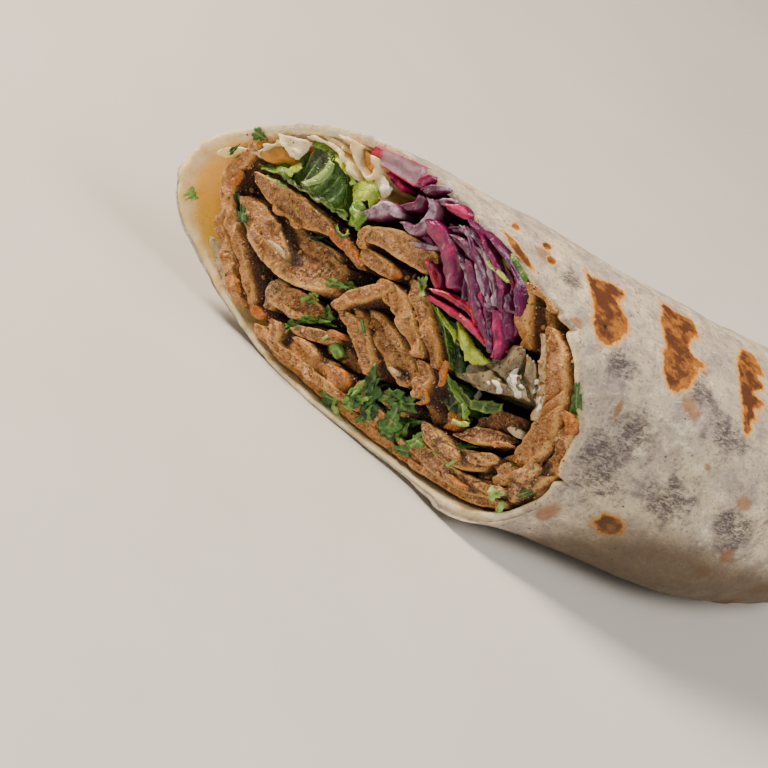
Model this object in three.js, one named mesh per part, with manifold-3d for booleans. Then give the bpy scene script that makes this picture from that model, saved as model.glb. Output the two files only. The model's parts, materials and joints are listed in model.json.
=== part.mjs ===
// Half of a doner kebab wrap, cut on the slant: flatbread rolled round sliced meat, lettuce and red cabbage.
// Millimetres, +Z up. +X runs from the cut to the tucked end, the wrap lies on a flat strip along its underside.
import * as THREE from "three";
import { mergeVertices } from "three/addons/utils/BufferGeometryUtils.js";
import Module from "manifold-3d";

const wasm = await Module();
wasm.setup();

const rad = THREE.MathUtils.degToRad;

// Driving sizes of the roll.
const cutAngle = rad(40); // between the cut and the roll's axis, seen from above
const tailX = 132; // from the middle of the cut to the tucked end
const roundFromX = 101; // where the tucked end starts to round over
const middle = { y: 1.2, z: 28.2 }; // centre of the roll's section at the cut
const meanRadius = 31;
const bulges = [ // how the section differs from a circle
  { lobes: 1, depth: 1.3, at: -156 },
  { lobes: 2, depth: 1.55, at: 2 },
  { lobes: 3, depth: 1.3, at: -86 },
  { lobes: 4, depth: 0.5, at: -177 },
  { lobes: 5, depth: 0.65, at: -19 },
];
const wall = { mean: 1.45, swing: 0.35, thickestAt: 60 };
const seam = { at: 228, step: 1.1, blend: 26 }; // the sheet's outer edge, low on the near side
const narrowing = { wide: 0.2, tall: 0.27 }; // share lost between the cut and the tip
const belly = { swell: 0.05, lean: 5.6, period: 0.96 }; // fuller in mid length, towards the near side
const pleats = { count: 5, depth: 0.07, at: 70 }; // folds gathered round the tucked end
const closeX = tailX - 2.4; // the hollow ends this much before the outside
const originShift = { x: 46.3, y: -2.3 }; // from the middle of the cut to the middle of the whole box
const fillingEndX = 121;

const cutCot = 1 / Math.tan(cutAngle);
const clamp = THREE.MathUtils.clamp;

// Where a point of the section goes at a place x along the roll. The roll narrows from the cut to its tip.
function place(y, z, x, tipX = closeX) {
  const frontX = -y * cutCot;
  const depth = clamp((x - frontX) / (tailX - frontX), 0, 1);
  const round = clamp((x - roundFromX) / (tipX - roundFromX), 0, 1);
  const fullness = Math.sin((Math.PI * depth) / belly.period) ** 2;
  const turn = Math.atan2(z - middle.z, y - middle.y);
  const pleat = 1 - pleats.depth * round ** 2 * (1 + Math.cos(pleats.count * turn - rad(pleats.at)));
  const wide = (1 - narrowing.wide * depth ** 2 + belly.swell * fullness) * pleat * (1 - round ** 3.2) ** (1 / 2.4);
  const tall = 1 - narrowing.tall * depth ** 1.4;
  const closing = pleat * (1 - round ** 2.8) ** (1 / 2.1);
  const side = -belly.lean * fullness;
  const height = middle.z * tall * (1 - 0.22 * round ** 2);
  return new THREE.Vector3(
    x - originShift.x,
    side + middle.y + (y - middle.y) * wide - originShift.y,
    Math.max(height + (z - middle.z) * tall * closing, 0),
  );
}

// The roll's outer section: radius at a turn round its middle, 0 towards +Y and 90 up.
function outlineRadius(turn) {
  let radius = meanRadius;
  for (const { lobes, depth, at } of bulges) radius += depth * Math.cos(lobes * turn - rad(at));
  return radius;
}

function sectionPoint(turn, radius) {
  return { y: middle.y + radius * Math.cos(turn), z: middle.z + radius * Math.sin(turn) };
}

// A closed solid from rings of points, each ring joined to the next, with both end rings capped alike.
function loftRings(rings, capTriangles) {
  const size = rings[0].length;
  const positions = rings.flat().flatMap((p) => [p.x, p.y, p.z]);
  const index = [];
  for (let r = 0; r + 1 < rings.length; r += 1) {
    for (let k = 0; k < size; k += 1) {
      const a = r * size + k;
      const b = r * size + ((k + 1) % size);
      index.push(a, a + size, b, b, a + size, b + size);
    }
  }
  const last = (rings.length - 1) * size;
  for (const [a, b, c] of capTriangles) {
    index.push(a, b, c, last + a, last + c, last + b);
  }
  const geometry = new THREE.BufferGeometry();
  geometry.setAttribute("position", new THREE.Float32BufferAttribute(positions, 3));
  geometry.setIndex(index);
  return geometry;
}

function toSolid(geometry) {
  const bare = geometry.clone();
  bare.deleteAttribute("normal");
  bare.deleteAttribute("uv");
  const merged = mergeVertices(bare, 1e-4);
  return new wasm.Manifold(new wasm.Mesh({
    numProp: 3,
    vertProperties: new Float32Array(merged.attributes.position.array),
    triVerts: new Uint32Array(merged.index.array),
  }));
}

function toGeometry(solid) {
  const mesh = solid.getMesh();
  const geometry = new THREE.BufferGeometry();
  geometry.setAttribute("position", new THREE.BufferAttribute(mesh.vertProperties, 3));
  geometry.setIndex(new THREE.BufferAttribute(mesh.triVerts, 1));
  geometry.computeVertexNormals();
  return geometry;
}

// A point of the cut face, `across` to the near side and z up, goes back along the roll by a share of its length.
function behindCut(across, z, out, share, endX = fillingEndX) {
  const y = -across * Math.sin(cutAngle);
  const frontX = -y * cutCot - out / Math.sin(cutAngle);
  return place(y, z, THREE.MathUtils.lerp(frontX, endX, share));
}

// The outline of a band that follows a line of points, as thick as `thick` says along the line.
function bandOutline(line, thick, steps, wave = 0) {
  const curve = new THREE.CatmullRomCurve3(line.map(([q, z]) => new THREE.Vector3(q, z, 0)), false, "centripetal");
  const upper = [];
  const lower = [];
  for (let k = 0; k <= steps; k += 1) {
    const t = k / steps;
    const p = curve.getPointAt(t);
    const d = curve.getTangentAt(t);
    const reach = t * (thick.length - 1);
    const low = Math.min(Math.floor(reach), thick.length - 2);
    const full = THREE.MathUtils.lerp(thick[low], thick[low + 1], reach - low) / 2;
    const half = full * (k === 0 || k === steps ? 0.55 : 1);
    const sway = wave * Math.sin(k * 2.1);
    upper.push(new THREE.Vector2(p.x - d.y * (half + sway), p.y + d.x * (half + sway)));
    lower.push(new THREE.Vector2(p.x + d.y * (half - sway), p.y - d.x * (half - sway)));
  }
  return upper.concat(lower.reverse());
}

const throughShares = [0, 0.14, 0.34, 0.56, 0.8, 1];

// A filling piece: its outline on the cut face, run back through the roll.
function throughPiece(outline, out, endX = fillingEndX) {
  if (THREE.ShapeUtils.isClockWise(outline)) outline.reverse();
  const caps = THREE.ShapeUtils.triangulateShape(outline, []);
  const rings = throughShares.map((share) => outline.map((p) => behindCut(p.x, p.y, out, share, endX)));
  return loftRings(rings, caps);
}

// Chopped parsley: a flat three-lobed leaf, pressed a little way into the face that it lies on.
function parsleyLeaf({ at, size, turn }, out) {
  const shape = new THREE.Shape();
  const corners = 9;
  for (let k = 0; k < corners; k += 1) {
    const angle = (k / corners) * 2 * Math.PI;
    const reach = size * (0.72 + 0.28 * Math.cos(3 * angle));
    const corner = [reach * Math.cos(angle), 0.7 * reach * Math.sin(angle)];
    if (k === 0) shape.moveTo(...corner);
    else shape.lineTo(...corner);
  }
  const leaf = new THREE.ExtrudeGeometry(shape, { depth: 1.1, bevelEnabled: false });
  leaf.translate(0, 0, -0.6);
  leaf.rotateZ(rad(turn));
  const outward = new THREE.Vector3(-Math.sin(cutAngle), -Math.cos(cutAngle), 0);
  const sideways = new THREE.Vector3(Math.cos(cutAngle), -Math.sin(cutAngle), 0);
  const spot = behindCut(at[0], at[1], out, 0);
  leaf.applyMatrix4(new THREE.Matrix4().makeBasis(sideways, new THREE.Vector3(0, 0, 1), outward).setPosition(spot));
  return leaf;
}

const finishes = {
  flatbread: new THREE.MeshStandardMaterial({ color: 0xd9c9b0, roughness: 0.85, metalness: 0 }),
  meat: new THREE.MeshStandardMaterial({ color: 0x8a5a38, roughness: 0.55, metalness: 0 }),
  lettuce: new THREE.MeshStandardMaterial({ color: 0x6f9a2c, roughness: 0.5, metalness: 0 }),
  cabbage: new THREE.MeshStandardMaterial({ color: 0x8c1f5c, roughness: 0.4, metalness: 0 }),
  onion: new THREE.MeshStandardMaterial({ color: 0xc9c2b0, roughness: 0.35, metalness: 0 }),
};

const wrap = new THREE.Group();

function addPiece(name, geometry, finish) {
  const piece = new THREE.Mesh(geometry, finishes[finish]);
  piece.name = name;
  wrap.add(piece);
}

// Flatbread: one rolled sheet, open at the cut and shut at the tucked end, with its inner edge loose inside.
const ringCount = 18;
const turnCount = 44;

function breadTurns() {
  const turns = [];
  for (let k = 0; k < turnCount; k += 1) turns.push((k / turnCount) * 360);
  turns.push(seam.at - 1.2, seam.at + 1.2);
  return turns.sort((a, b) => a - b).map(rad);
}

function seamStep(turn) {
  const before = seam.at - THREE.MathUtils.radToDeg(turn);
  if (before < 0 || before > seam.blend) return 0;
  return seam.step * (1 - before / seam.blend);
}

function wallAt(turn) {
  return wall.mean + wall.swing * Math.cos(turn - rad(wall.thickestAt));
}

function breadSkin(turns, radiusAt, endX) {
  const rings = [];
  for (let r = 0; r < ringCount; r += 1) {
    const share = 1 - (1 - r / ringCount) ** 1.25;
    rings.push(turns.map((turn) => {
      const { y, z } = sectionPoint(turn, radiusAt(turn));
      return place(y, z, THREE.MathUtils.lerp(-y * cutCot, endX, share), endX);
    }));
  }
  return rings;
}

function breadCup() {
  const turns = breadTurns();
  const size = turns.length;
  const outside = breadSkin(turns, (turn) => outlineRadius(turn) + seamStep(turn), tailX);
  const inside = breadSkin(turns, (turn) => outlineRadius(turn) - wallAt(turn), closeX);
  const rings = outside.reverse().concat(inside);
  const positions = rings.flat().flatMap((p) => [p.x, p.y, p.z]);
  const index = [];
  for (let r = 0; r + 1 < rings.length; r += 1) {
    for (let k = 0; k < size; k += 1) {
      const a = r * size + k;
      const b = r * size + ((k + 1) % size);
      index.push(a, a + size, b, b, a + size, b + size);
    }
  }
  const outerTip = rings.length * size;
  const innerTip = outerTip + 1;
  for (const endX of [tailX, closeX]) {
    const tip = place(middle.y, middle.z, endX, endX);
    positions.push(tip.x, tip.y, tip.z);
  }
  const last = (rings.length - 1) * size;
  for (let k = 0; k < size; k += 1) {
    const next = (k + 1) % size;
    index.push(outerTip, k, next, innerTip, last + next, last + k);
  }
  const geometry = new THREE.BufferGeometry();
  geometry.setAttribute("position", new THREE.Float32BufferAttribute(positions, 3));
  geometry.setIndex(index);
  return geometry;
}

const looseEdge = { line: [[-40.2, 41], [-37.4, 42.4], [-32, 45.4], [-26, 48.2], [-20, 47.8], [-14.5, 45.6]], thick: [1.8, 1.6] };

function flatbread() {
  const edge = throughPiece(bandOutline(looseEdge.line, looseEdge.thick, 9), 0);
  return toGeometry(toSolid(breadCup()).add(toSolid(edge)));
}

addPiece("flatbread", flatbread(), "flatbread");

// Meat: each slice is a band on the cut face. `out` is how far it stands out of the cut, or lies back in it.
const meatSlices = [
  { name: "upper_slab", line: [[-37.3, 31], [-28, 31], [-19, 33], [-8.5, 31.6]], thick: [4.6, 4.8, 3.8, 1.8], out: 1.6 },
  { name: "broad_slab", line: [[-35.2, 25.6], [-27, 23.4], [-17, 23.6], [-11.6, 25.5]], thick: [4, 8.4, 9, 6], out: 0.4 },
  { name: "far_wall_slice", line: [[-40.8, 35.8], [-42.2, 29], [-38.7, 21.6], [-29.9, 14.6], [-21.7, 7.6]], thick: [3.4, 4.2, 4, 3.6], out: -3 },
  { name: "far_low_slice", line: [[-41.5, 17.4], [-34, 12], [-27.4, 7.4]], thick: [2.8, 3.2, 3], out: -1.4 },
  { name: "pale_chunk", line: [[-20.6, 13.4], [-15, 14.6], [-10, 16.6]], thick: [5.6, 5.4, 3], out: -1 },
  { name: "arched_slice", line: [[-8.4, 19.4], [-6.4, 26], [-2, 31.6], [4, 29.2], [10.6, 24]], thick: [3, 3.4, 3.6, 3.4], out: 1.8 },
  { name: "long_slice", line: [[1.5, 35.6], [8.5, 31.2], [16, 25.1]], thick: [3.2, 3.4, 3.2], out: 1 },
  { name: "ragged_slice", line: [[-1.4, 24], [5, 21.6], [11, 17.6], [16.4, 16.6]], thick: [3.6, 6, 5.4, 3.4], out: 0 },
  { name: "low_middle_slice", line: [[-3.6, 20.4], [0.5, 17.4], [5.4, 13]], thick: [3, 3.8, 3.4], out: -0.8 },
  { name: "folded_slice", line: [[1.8, 42.2], [-6, 40.9], [-12, 38], [-10, 34.9], [-4, 35]], thick: [4.6, 5.4, 3.8, 3, 2.8], out: 2.2 },
  { name: "curled_slice", line: [[18.5, 51.1], [22, 49.5], [24.2, 45.6], [26.5, 41.6]], thick: [2.4, 4.2, 4.2, 3.4], out: -1 },
  { name: "near_wall_slice", line: [[28.8, 47], [34, 42], [37.9, 34], [38.5, 26], [37.5, 21.6]], thick: [3.8, 4.6, 4.4, 3.8], out: 1 },
  { name: "near_rim_slice", line: [[41, 35.8], [43.4, 30.2], [43.8, 24], [42.5, 19.9]], thick: [2.2, 2.6, 2.2], out: 0 },
  { name: "near_low_slice", line: [[18.9, 13.8], [24, 12], [30, 12], [35.6, 16.6]], thick: [3, 3.6, 3.4, 3], out: 1 },
  { name: "near_under_slice", line: [[21.4, 7.8], [29, 7.6], [36, 10], [40.2, 13.8]], thick: [3, 3.4, 3.2, 2.6], out: 0 },
  { name: "near_corner_slice", line: [[41.8, 12.4], [43.2, 14.7], [43.7, 17.2]], thick: [1.8, 2.2, 1.8], out: -0.4 },
  { name: "leaning_slab", line: [[27.4, 17.2], [31.5, 21], [34.8, 24.8]], thick: [3.6, 4.2, 3.6], out: 0.2 },
  { name: "shaded_slab", line: [[31.2, 27.2], [34.4, 30]], thick: [2.6, 3], out: -4 },
  { name: "bottom_chunk", line: [[-17.4, 5.8], [-9, 5.9], [-1, 7.2], [3.4, 7.6]], thick: [3.4, 5, 6, 3.8], out: 0 },
  { name: "thin_bottom_slice", line: [[-13, 10.7], [-7.5, 12.1], [-3.4, 15]], thick: [2.4, 2.6, 2.4], out: 0.6 },
  { name: "herb_bed_low", line: [[7.9, 6.8], [13, 6.3], [16.6, 6.5]], thick: [4, 4.4, 3.6], out: 0 },
  { name: "herb_bed_high", line: [[9.6, 12.6], [12.5, 12], [15, 12.3]], thick: [3.6, 4, 3.6], out: -0.6 },
];

const parsley = {
  upper_slab: [],
  broad_slab: [{ at: [-29, 22.6], size: 2.6, turn: 40 }, { at: [-15, 20.4], size: 1.9, turn: 20 }],
  pale_chunk: [{ at: [-11.4, 15.8], size: 1.3, turn: 30 }],
  ragged_slice: [{ at: [-1, 24.6], size: 1.5, turn: -30 }],
  thin_bottom_slice: [{ at: [-10.6, 11.3], size: 1.1, turn: 60 }],
  low_middle_slice: [{ at: [-2.6, 19.4], size: 1.3, turn: 0 }],
  herb_bed_high: [{ at: [12.2, 12.4], size: 1.9, turn: 50 }],
  herb_bed_low: [{ at: [9.6, 6.6], size: 1.9, turn: 70 }, { at: [14.6, 6.4], size: 1.8, turn: 10 }],
  near_low_slice: [{ at: [22, 12.6], size: 1.5, turn: 110 }, { at: [30, 12], size: 1.5, turn: 65 }],
  near_under_slice: [{ at: [26, 7.6], size: 1.4, turn: 90 }],
  near_rim_slice: [{ at: [43.6, 26], size: 0.9, turn: 80 }],
};

for (const { name, line, thick, out } of meatSlices) {
  const slice = throughPiece(bandOutline(line, thick, 3 * line.length - 2, 0.16), out);
  const leaves = parsley[name] ?? [];
  let solid = toSolid(slice);
  for (const leaf of leaves) solid = solid.add(toSolid(parsleyLeaf(leaf, out)));
  addPiece(`meat_${name}`, toGeometry(solid), "meat");
}

// Lettuce: thin leaves, crinkled across the cut.
const leaves = [
  { name: "large_leaf", line: [[-32.4, 43], [-30.2, 36.6], [-27, 43], [-24, 37.4], [-21, 42.6], [-18.6, 37.6]], thick: [1, 1.3, 1], out: -2 },
  { name: "far_leaf", line: [[-37.4, 34.8], [-34.8, 36.2], [-34.8, 40]], thick: [0.9, 1.2], out: -1 },
  { name: "curly_leaf", line: [[-17.6, 44.4], [-15.6, 41.6], [-16.4, 37.2]], thick: [1.1, 1.4, 1], out: 1 },
  { name: "top_leaf", line: [[7.4, 53.4], [10.4, 52.5], [13.4, 53], [16.6, 51.8]], thick: [0.9, 1.1, 0.9], out: 0 },
  { name: "middle_leaf", line: [[8, 35.2], [12, 32.1], [16.6, 28.2]], thick: [0.9, 1.1, 0.9], out: 0 },
  { name: "frilly_leaf", line: [[11.6, 34.6], [14.6, 35.2], [17.4, 32.8], [21, 33.6]], thick: [1.1, 1.4, 1.1], out: 1 },
  { name: "dark_leaf", line: [[18, 24.6], [21.6, 23.8], [24.6, 20.8]], thick: [1.1, 1.4, 1], out: -0.6 },
  { name: "small_dark_leaf", line: [[24.2, 23.6], [27, 24.6], [29, 26.8]], thick: [0.9, 1.2, 0.9], out: 0 },
];

for (const { name, line, thick, out } of leaves) {
  const leaf = throughPiece(bandOutline(line, thick, 3 * line.length, 0.12), out);
  addPiece(`lettuce_${name}`, leaf, "lettuce");
}

// Red cabbage: a bundle of shreds, as a core with the shreds that show fused to its face.
const cabbageCore = [
  [-8.4, 48.6], [-8.2, 52.6], [-4, 54.6], [4, 54.4], [6.6, 51.4], [15.4, 49.8], [18, 45.6], [20.6, 38.4],
  [14, 37.4], [8, 37.4], [4.6, 41.6], [3.4, 45.8], [-2, 46.4],
];
const shreds = [
  { line: [[-5, 48.4], [2, 47.2], [7.4, 40.6]], thick: [2.4, 3.2, 2.4], out: 2.6 },
  { line: [[1, 49.8], [7.6, 49.6], [15.6, 42.4]], thick: [1.6, 2.4, 1.8], out: 2 },
  { line: [[7.6, 47.4], [13, 42], [20.4, 38.4]], thick: [1.6, 2.4, 2], out: 3 },
  { line: [[5.4, 38.4], [12, 39.8], [19.4, 37.8]], thick: [1.4, 2, 1.6], out: 1.8 },
  { line: [[1.4, 50.6], [5, 53], [6.8, 51.8]], thick: [1.6, 2.2, 1.6], out: 1.6 },
  { line: [[-7.6, 49.4], [-5.4, 53], [-4.4, 48.4]], thick: [1.4, 2, 1.6], out: 2.4 },
  { line: [[-3.4, 51.6], [-1, 54.6]], thick: [1.8, 2.4], out: 1.6 },
  { line: [[17.4, 43.4], [18.8, 41], [20.8, 38]], thick: [1.6, 2, 1.6], out: 2.4 },
];
const shredEndX = 14;

function cabbage() {
  let solid = toSolid(throughPiece(cabbageCore.map(([q, z]) => new THREE.Vector2(q, z)), 0));
  for (const { line, thick, out } of shreds) {
    const shred = throughPiece(bandOutline(line, thick, 2 * line.length), out, shredEndX);
    solid = solid.add(toSolid(shred));
  }
  return toGeometry(solid);
}

addPiece("cabbage_shreds", cabbage(), "cabbage");
addPiece("radish_stick", throughPiece(bandOutline([[-19.8, 51.2], [-12, 53]], [3, 3.4], 3), 1.2), "cabbage");
addPiece("cabbage_point", throughPiece(bandOutline([[-13.8, 43.8], [-11.6, 45.6], [-9.4, 46.2]], [1.4, 2], 4), 1.4), "cabbage");
addPiece("onion_piece", throughPiece(bandOutline([[21, 28], [25.6, 32.4], [28.8, 37.4]], [3.4, 7, 5], 7), -0.6), "onion");

export default wrap;
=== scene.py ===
# Half of a doner kebab wrap, cut on the slant: the looks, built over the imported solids.
import json
import math

import bmesh
import bpy
import numpy as np
from mathutils import Matrix, Vector
from mathutils.bvhtree import BVHTree

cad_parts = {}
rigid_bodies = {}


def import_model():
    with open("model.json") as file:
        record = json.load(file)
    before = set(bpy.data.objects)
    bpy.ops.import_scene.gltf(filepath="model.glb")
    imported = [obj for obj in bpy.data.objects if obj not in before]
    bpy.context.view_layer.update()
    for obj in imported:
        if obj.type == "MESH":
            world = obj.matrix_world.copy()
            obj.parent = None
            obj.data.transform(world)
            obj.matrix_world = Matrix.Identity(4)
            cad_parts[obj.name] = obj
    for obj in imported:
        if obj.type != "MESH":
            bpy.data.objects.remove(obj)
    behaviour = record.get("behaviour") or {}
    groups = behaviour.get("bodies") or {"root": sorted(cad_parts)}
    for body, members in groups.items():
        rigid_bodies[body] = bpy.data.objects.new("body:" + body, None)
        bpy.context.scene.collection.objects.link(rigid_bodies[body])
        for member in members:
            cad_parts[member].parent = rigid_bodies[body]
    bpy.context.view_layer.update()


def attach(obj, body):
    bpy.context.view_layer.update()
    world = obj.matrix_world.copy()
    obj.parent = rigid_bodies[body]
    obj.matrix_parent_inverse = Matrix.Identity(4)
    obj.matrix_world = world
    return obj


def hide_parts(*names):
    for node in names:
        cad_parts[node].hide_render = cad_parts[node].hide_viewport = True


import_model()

mm = 0.001  # sizes below are millimetres, meshes are metres

# The roll, as the solids have it. q runs across the cut to the near side, z up, turn 0 is +Y and 90 up.
roll = {
    "cutAngle": 40, "tailX": 132, "closeX": 129.6, "roundFromX": 101, "fillingEndX": 121, "middleY": 1.2,
    "middleZ": 28.2, "meanRadius": 31,
    "bulges": [(1, 1.3, -156), (2, 1.55, 2), (3, 1.3, -86), (4, 0.5, -177), (5, 0.65, -19)],
    "wallMean": 1.45, "wallSwing": 0.35, "wallThickestAt": 60, "seamAt": 228, "seamStep": 1.1,
    "seamBlend": 26, "narrowWide": 0.2, "narrowTall": 0.27, "bellySwell": 0.05, "bellyLean": 5.6,
    "bellyPeriod": 0.96, "pleatCount": 5, "pleatDepth": 0.07, "pleatAt": 70, "shiftX": 46.3, "shiftY": -2.3,
}
sinCut = math.sin(math.radians(roll["cutAngle"]))
cosCut = math.cos(math.radians(roll["cutAngle"]))
cotCut = cosCut / sinCut
outward = np.array([-sinCut, -cosCut, 0.0])  # out of the cut


def placeInRoll(y, z, x, tipX):
    frontX = -y * cotCut
    depth = np.clip((x - frontX) / (roll["tailX"] - frontX), 0, 1)
    rounding = np.clip((x - roll["roundFromX"]) / (tipX - roll["roundFromX"]), 0, 1)
    fullness = np.sin(np.pi * depth / roll["bellyPeriod"]) ** 2
    turn = np.arctan2(z - roll["middleZ"], y - roll["middleY"])
    folds = 1 + np.cos(roll["pleatCount"] * turn - math.radians(roll["pleatAt"]))
    pleat = 1 - roll["pleatDepth"] * rounding**2 * folds
    wide = 1 - roll["narrowWide"] * depth**2 + roll["bellySwell"] * fullness
    wide = wide * pleat * (1 - rounding**3.2) ** (1 / 2.4)
    tall = 1 - roll["narrowTall"] * depth**1.4
    closing = pleat * (1 - rounding**2.8) ** (1 / 2.1)
    height = roll["middleZ"] * tall * (1 - 0.22 * rounding**2)
    placedY = roll["middleY"] + (y - roll["middleY"]) * wide - roll["bellyLean"] * fullness
    placedZ = height + (z - roll["middleZ"]) * tall * closing
    return np.stack([x - roll["shiftX"], placedY - roll["shiftY"], np.maximum(placedZ, 0)], axis=-1)


def behindCut(q, z, back):
    y = -q * sinCut
    x = np.minimum(-y * cotCut + back / sinCut, roll["fillingEndX"])
    return placeInRoll(y, z, x, roll["closeX"])


def outlineRadius(turn):
    radius = roll["meanRadius"] + 0 * turn
    for lobes, depth, at in roll["bulges"]:
        radius = radius + depth * np.cos(lobes * turn - math.radians(at))
    return radius


# Noise for the meshes.
def cellValue(ix, iy, iz, seed):
    h = ((ix * 73856093) ^ (iy * 19349663) ^ (iz * 83492791) ^ (seed * 26544357)) & 0xFFFFFFFF
    h = ((h ^ (h >> 13)) * 1274126177) & 0xFFFFFFFF
    return ((h ^ (h >> 16)) & 0xFFFF) / 32767.5 - 1


def noise(points, size, seed=0):
    scaled = points / size
    cell = np.floor(scaled).astype(np.int64)
    f = scaled - cell
    f = f * f * f * (f * (f * 6 - 15) + 10)
    total = np.zeros(len(points))
    for corner in range(8):
        step = np.array([corner & 1, corner >> 1 & 1, corner >> 2])
        weight = np.prod(np.where(step, f, 1 - f), axis=1)
        at = cell + step
        total += weight * cellValue(at[:, 0], at[:, 1], at[:, 2], seed)
    return total


def cloud(points, size, seed=0, octaves=3):
    total = np.zeros(len(points))
    for k in range(octaves):
        total += 0.5**k * noise(points + 17.3 * k, size / 2.1**k, seed + k)
    return total / 1.6


def lineNoise(values, size, seed=0):
    flat = np.zeros((values.size, 3))
    flat[:, 0] = values.ravel()
    return noise(flat, size, seed).reshape(values.shape)


# A part is points in millimetres, faces of four (a triangle repeats its last) and numbers for each point.
def gridPart(points, closed=False, **values):
    rows, columns = points.shape[:2]
    r = np.arange(rows - 1)[:, None]
    c = np.arange(columns if closed else columns - 1)[None, :]
    after = (c + 1) % columns
    corners = [r * columns + c, (r + 1) * columns + c, (r + 1) * columns + after, r * columns + after]
    faces = np.stack([np.broadcast_to(k, (rows - 1, c.shape[1])) for k in corners], axis=-1).reshape(-1, 4)
    values = {k: np.broadcast_to(v, points.shape[:2]).ravel().astype(float) for k, v in values.items()}
    return {"points": points.reshape(-1, 3), "faces": faces, "values": values}


def welded(part):
    points, faces = part["points"], part["faces"]
    _, first, index = np.unique(np.round(points, 4), axis=0, return_index=True, return_inverse=True)
    faces = index.reshape(-1)[faces]
    same = faces == np.roll(faces, -1, axis=1)
    count = same.sum(axis=1)
    crossed = (faces[:, 0] == faces[:, 2]) | (faces[:, 1] == faces[:, 3])
    whole = faces[(count == 0) & ~crossed]
    one = (count == 1) & ~crossed
    triangles = faces[one][~same[one]].reshape(-1, 3)
    faces = np.vstack([whole, np.column_stack([triangles, triangles[:, 2]])])
    return {"points": points[first], "faces": faces,
            "values": {k: v[first] for k, v in part["values"].items()}}


def pointNormals(part):
    points, faces = part["points"], part["faces"]
    cross = np.cross(points[faces[:, 2]] - points[faces[:, 0]], points[faces[:, 3]] - points[faces[:, 1]])
    total = np.zeros_like(points)
    for k in range(4):
        for axis in range(3):
            total[:, axis] += np.bincount(faces[:, k], cross[:, axis], len(points))
    return total / np.maximum(np.linalg.norm(total, axis=1, keepdims=True), 1e-9)


def facingOut(part):
    points, faces = part["points"], part["faces"]
    a, b, c, d = (points[faces[:, k]] for k in range(4))
    volume = np.einsum("ij,ij->", a, np.cross(b, c)) + np.einsum("ij,ij->", a, np.cross(c, d))
    if volume < 0:
        flipped = faces[:, ::-1].copy()
        threes = flipped[:, 0] == flipped[:, 1]
        flipped[threes] = flipped[threes][:, [1, 2, 3, 3]]
        part["faces"] = flipped
    return part


def pushed(part, amount):
    part["points"] = part["points"] + pointNormals(part) * amount[:, None]
    return part


def joined(parts):
    names = set().union(*(p["values"] for p in parts))
    offsets = np.cumsum([0] + [len(p["points"]) for p in parts])
    return {
        "points": np.vstack([p["points"] for p in parts]),
        "faces": np.vstack([p["faces"] + o for p, o in zip(parts, offsets)]),
        "values": {n: np.concatenate([p["values"].get(n, np.zeros(len(p["points"]))) for p in parts])
                   for n in names},
    }


def makeMesh(name, part, material):
    mesh = bpy.data.meshes.new(name)
    faces = part["faces"]
    threes = faces[:, 2] == faces[:, 3]
    mesh.from_pydata((part["points"] * mm).tolist(), [], faces[~threes].tolist() + faces[threes, :3].tolist())
    for key, numbers in part["values"].items():
        mesh.attributes.new(key, "FLOAT", "POINT").data.foreach_set("value", numbers.astype(np.float32))
    mesh.shade_smooth()
    mesh.materials.append(material)
    return mesh


laid = []  # every piece with its slot


def addPiece(name, part, material, slot, *nodes):
    mesh = part if isinstance(part, bpy.types.Mesh) else makeMesh(name, part, material)
    piece = bpy.data.objects.new(name, mesh)
    bpy.context.scene.collection.objects.link(piece)
    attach(piece, "root")
    if nodes:
        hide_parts(*nodes)
    laid.append((piece, slot))


# Geometry node helpers.
def newTree(name, sockets):
    tree = bpy.data.node_groups.new(name, "GeometryNodeTree")
    tree.interface.new_socket("Geometry", in_out="INPUT", socket_type="NodeSocketGeometry")
    for label, (kind, value) in sockets.items():
        socket = tree.interface.new_socket(label, in_out="INPUT", socket_type="NodeSocket" + kind)
        if value is not None:
            socket.default_value = value
    tree.interface.new_socket("Geometry", in_out="OUTPUT", socket_type="NodeSocketGeometry")
    return tree, tree.nodes.new("NodeGroupInput").outputs, tree.nodes.new("NodeGroupOutput").inputs


def wired(tree, kind, sockets, **settings):
    node = tree.nodes.new(kind)
    for key, value in settings.items():
        setattr(node, key, value)
    for key, value in sockets.items():
        socket = next(s for s in node.inputs if s.identifier == key)
        if isinstance(value, bpy.types.NodeSocket):
            tree.links.new(value, socket)
        else:
            socket.default_value = value
    return node


def onScene(mesh):
    base = bpy.data.objects.new("base", mesh)
    bpy.context.scene.collection.objects.link(base)
    return base


def applied(base):
    graph = bpy.context.evaluated_depsgraph_get()
    result = bpy.data.meshes.new_from_object(base.evaluated_get(graph), depsgraph=graph)
    bpy.data.objects.remove(base)
    return result


def grown(mesh, tree, settings):
    base = onScene(mesh)
    modifier = base.modifiers.new("grow", "NODES")
    modifier.node_group = tree
    for socket in tree.interface.items_tree:
        if socket.in_out == "INPUT" and socket.name in settings:
            modifier[socket.identifier] = settings[socket.name]
    return applied(base)


# Material helpers.
def paint(code):
    channels = [int(code[k:k + 2], 16) / 255 for k in (1, 3, 5)]
    return [c / 12.92 if c <= 0.04045 else ((c + 0.055) / 1.055) ** 2.4 for c in channels] + [1.0]


def newFinish(name):
    material = bpy.data.materials.new(name)
    material.use_nodes = True
    tree = material.node_tree
    shader = tree.nodes["Principled BSDF"]
    coords = tree.nodes.new("ShaderNodeTexCoord").outputs["Object"]
    return material, tree, shader, coords


def setNode(node, **inputs):
    for key, value in inputs.items():
        node.inputs[key.replace("_", " ")].default_value = value
    return node


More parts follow.
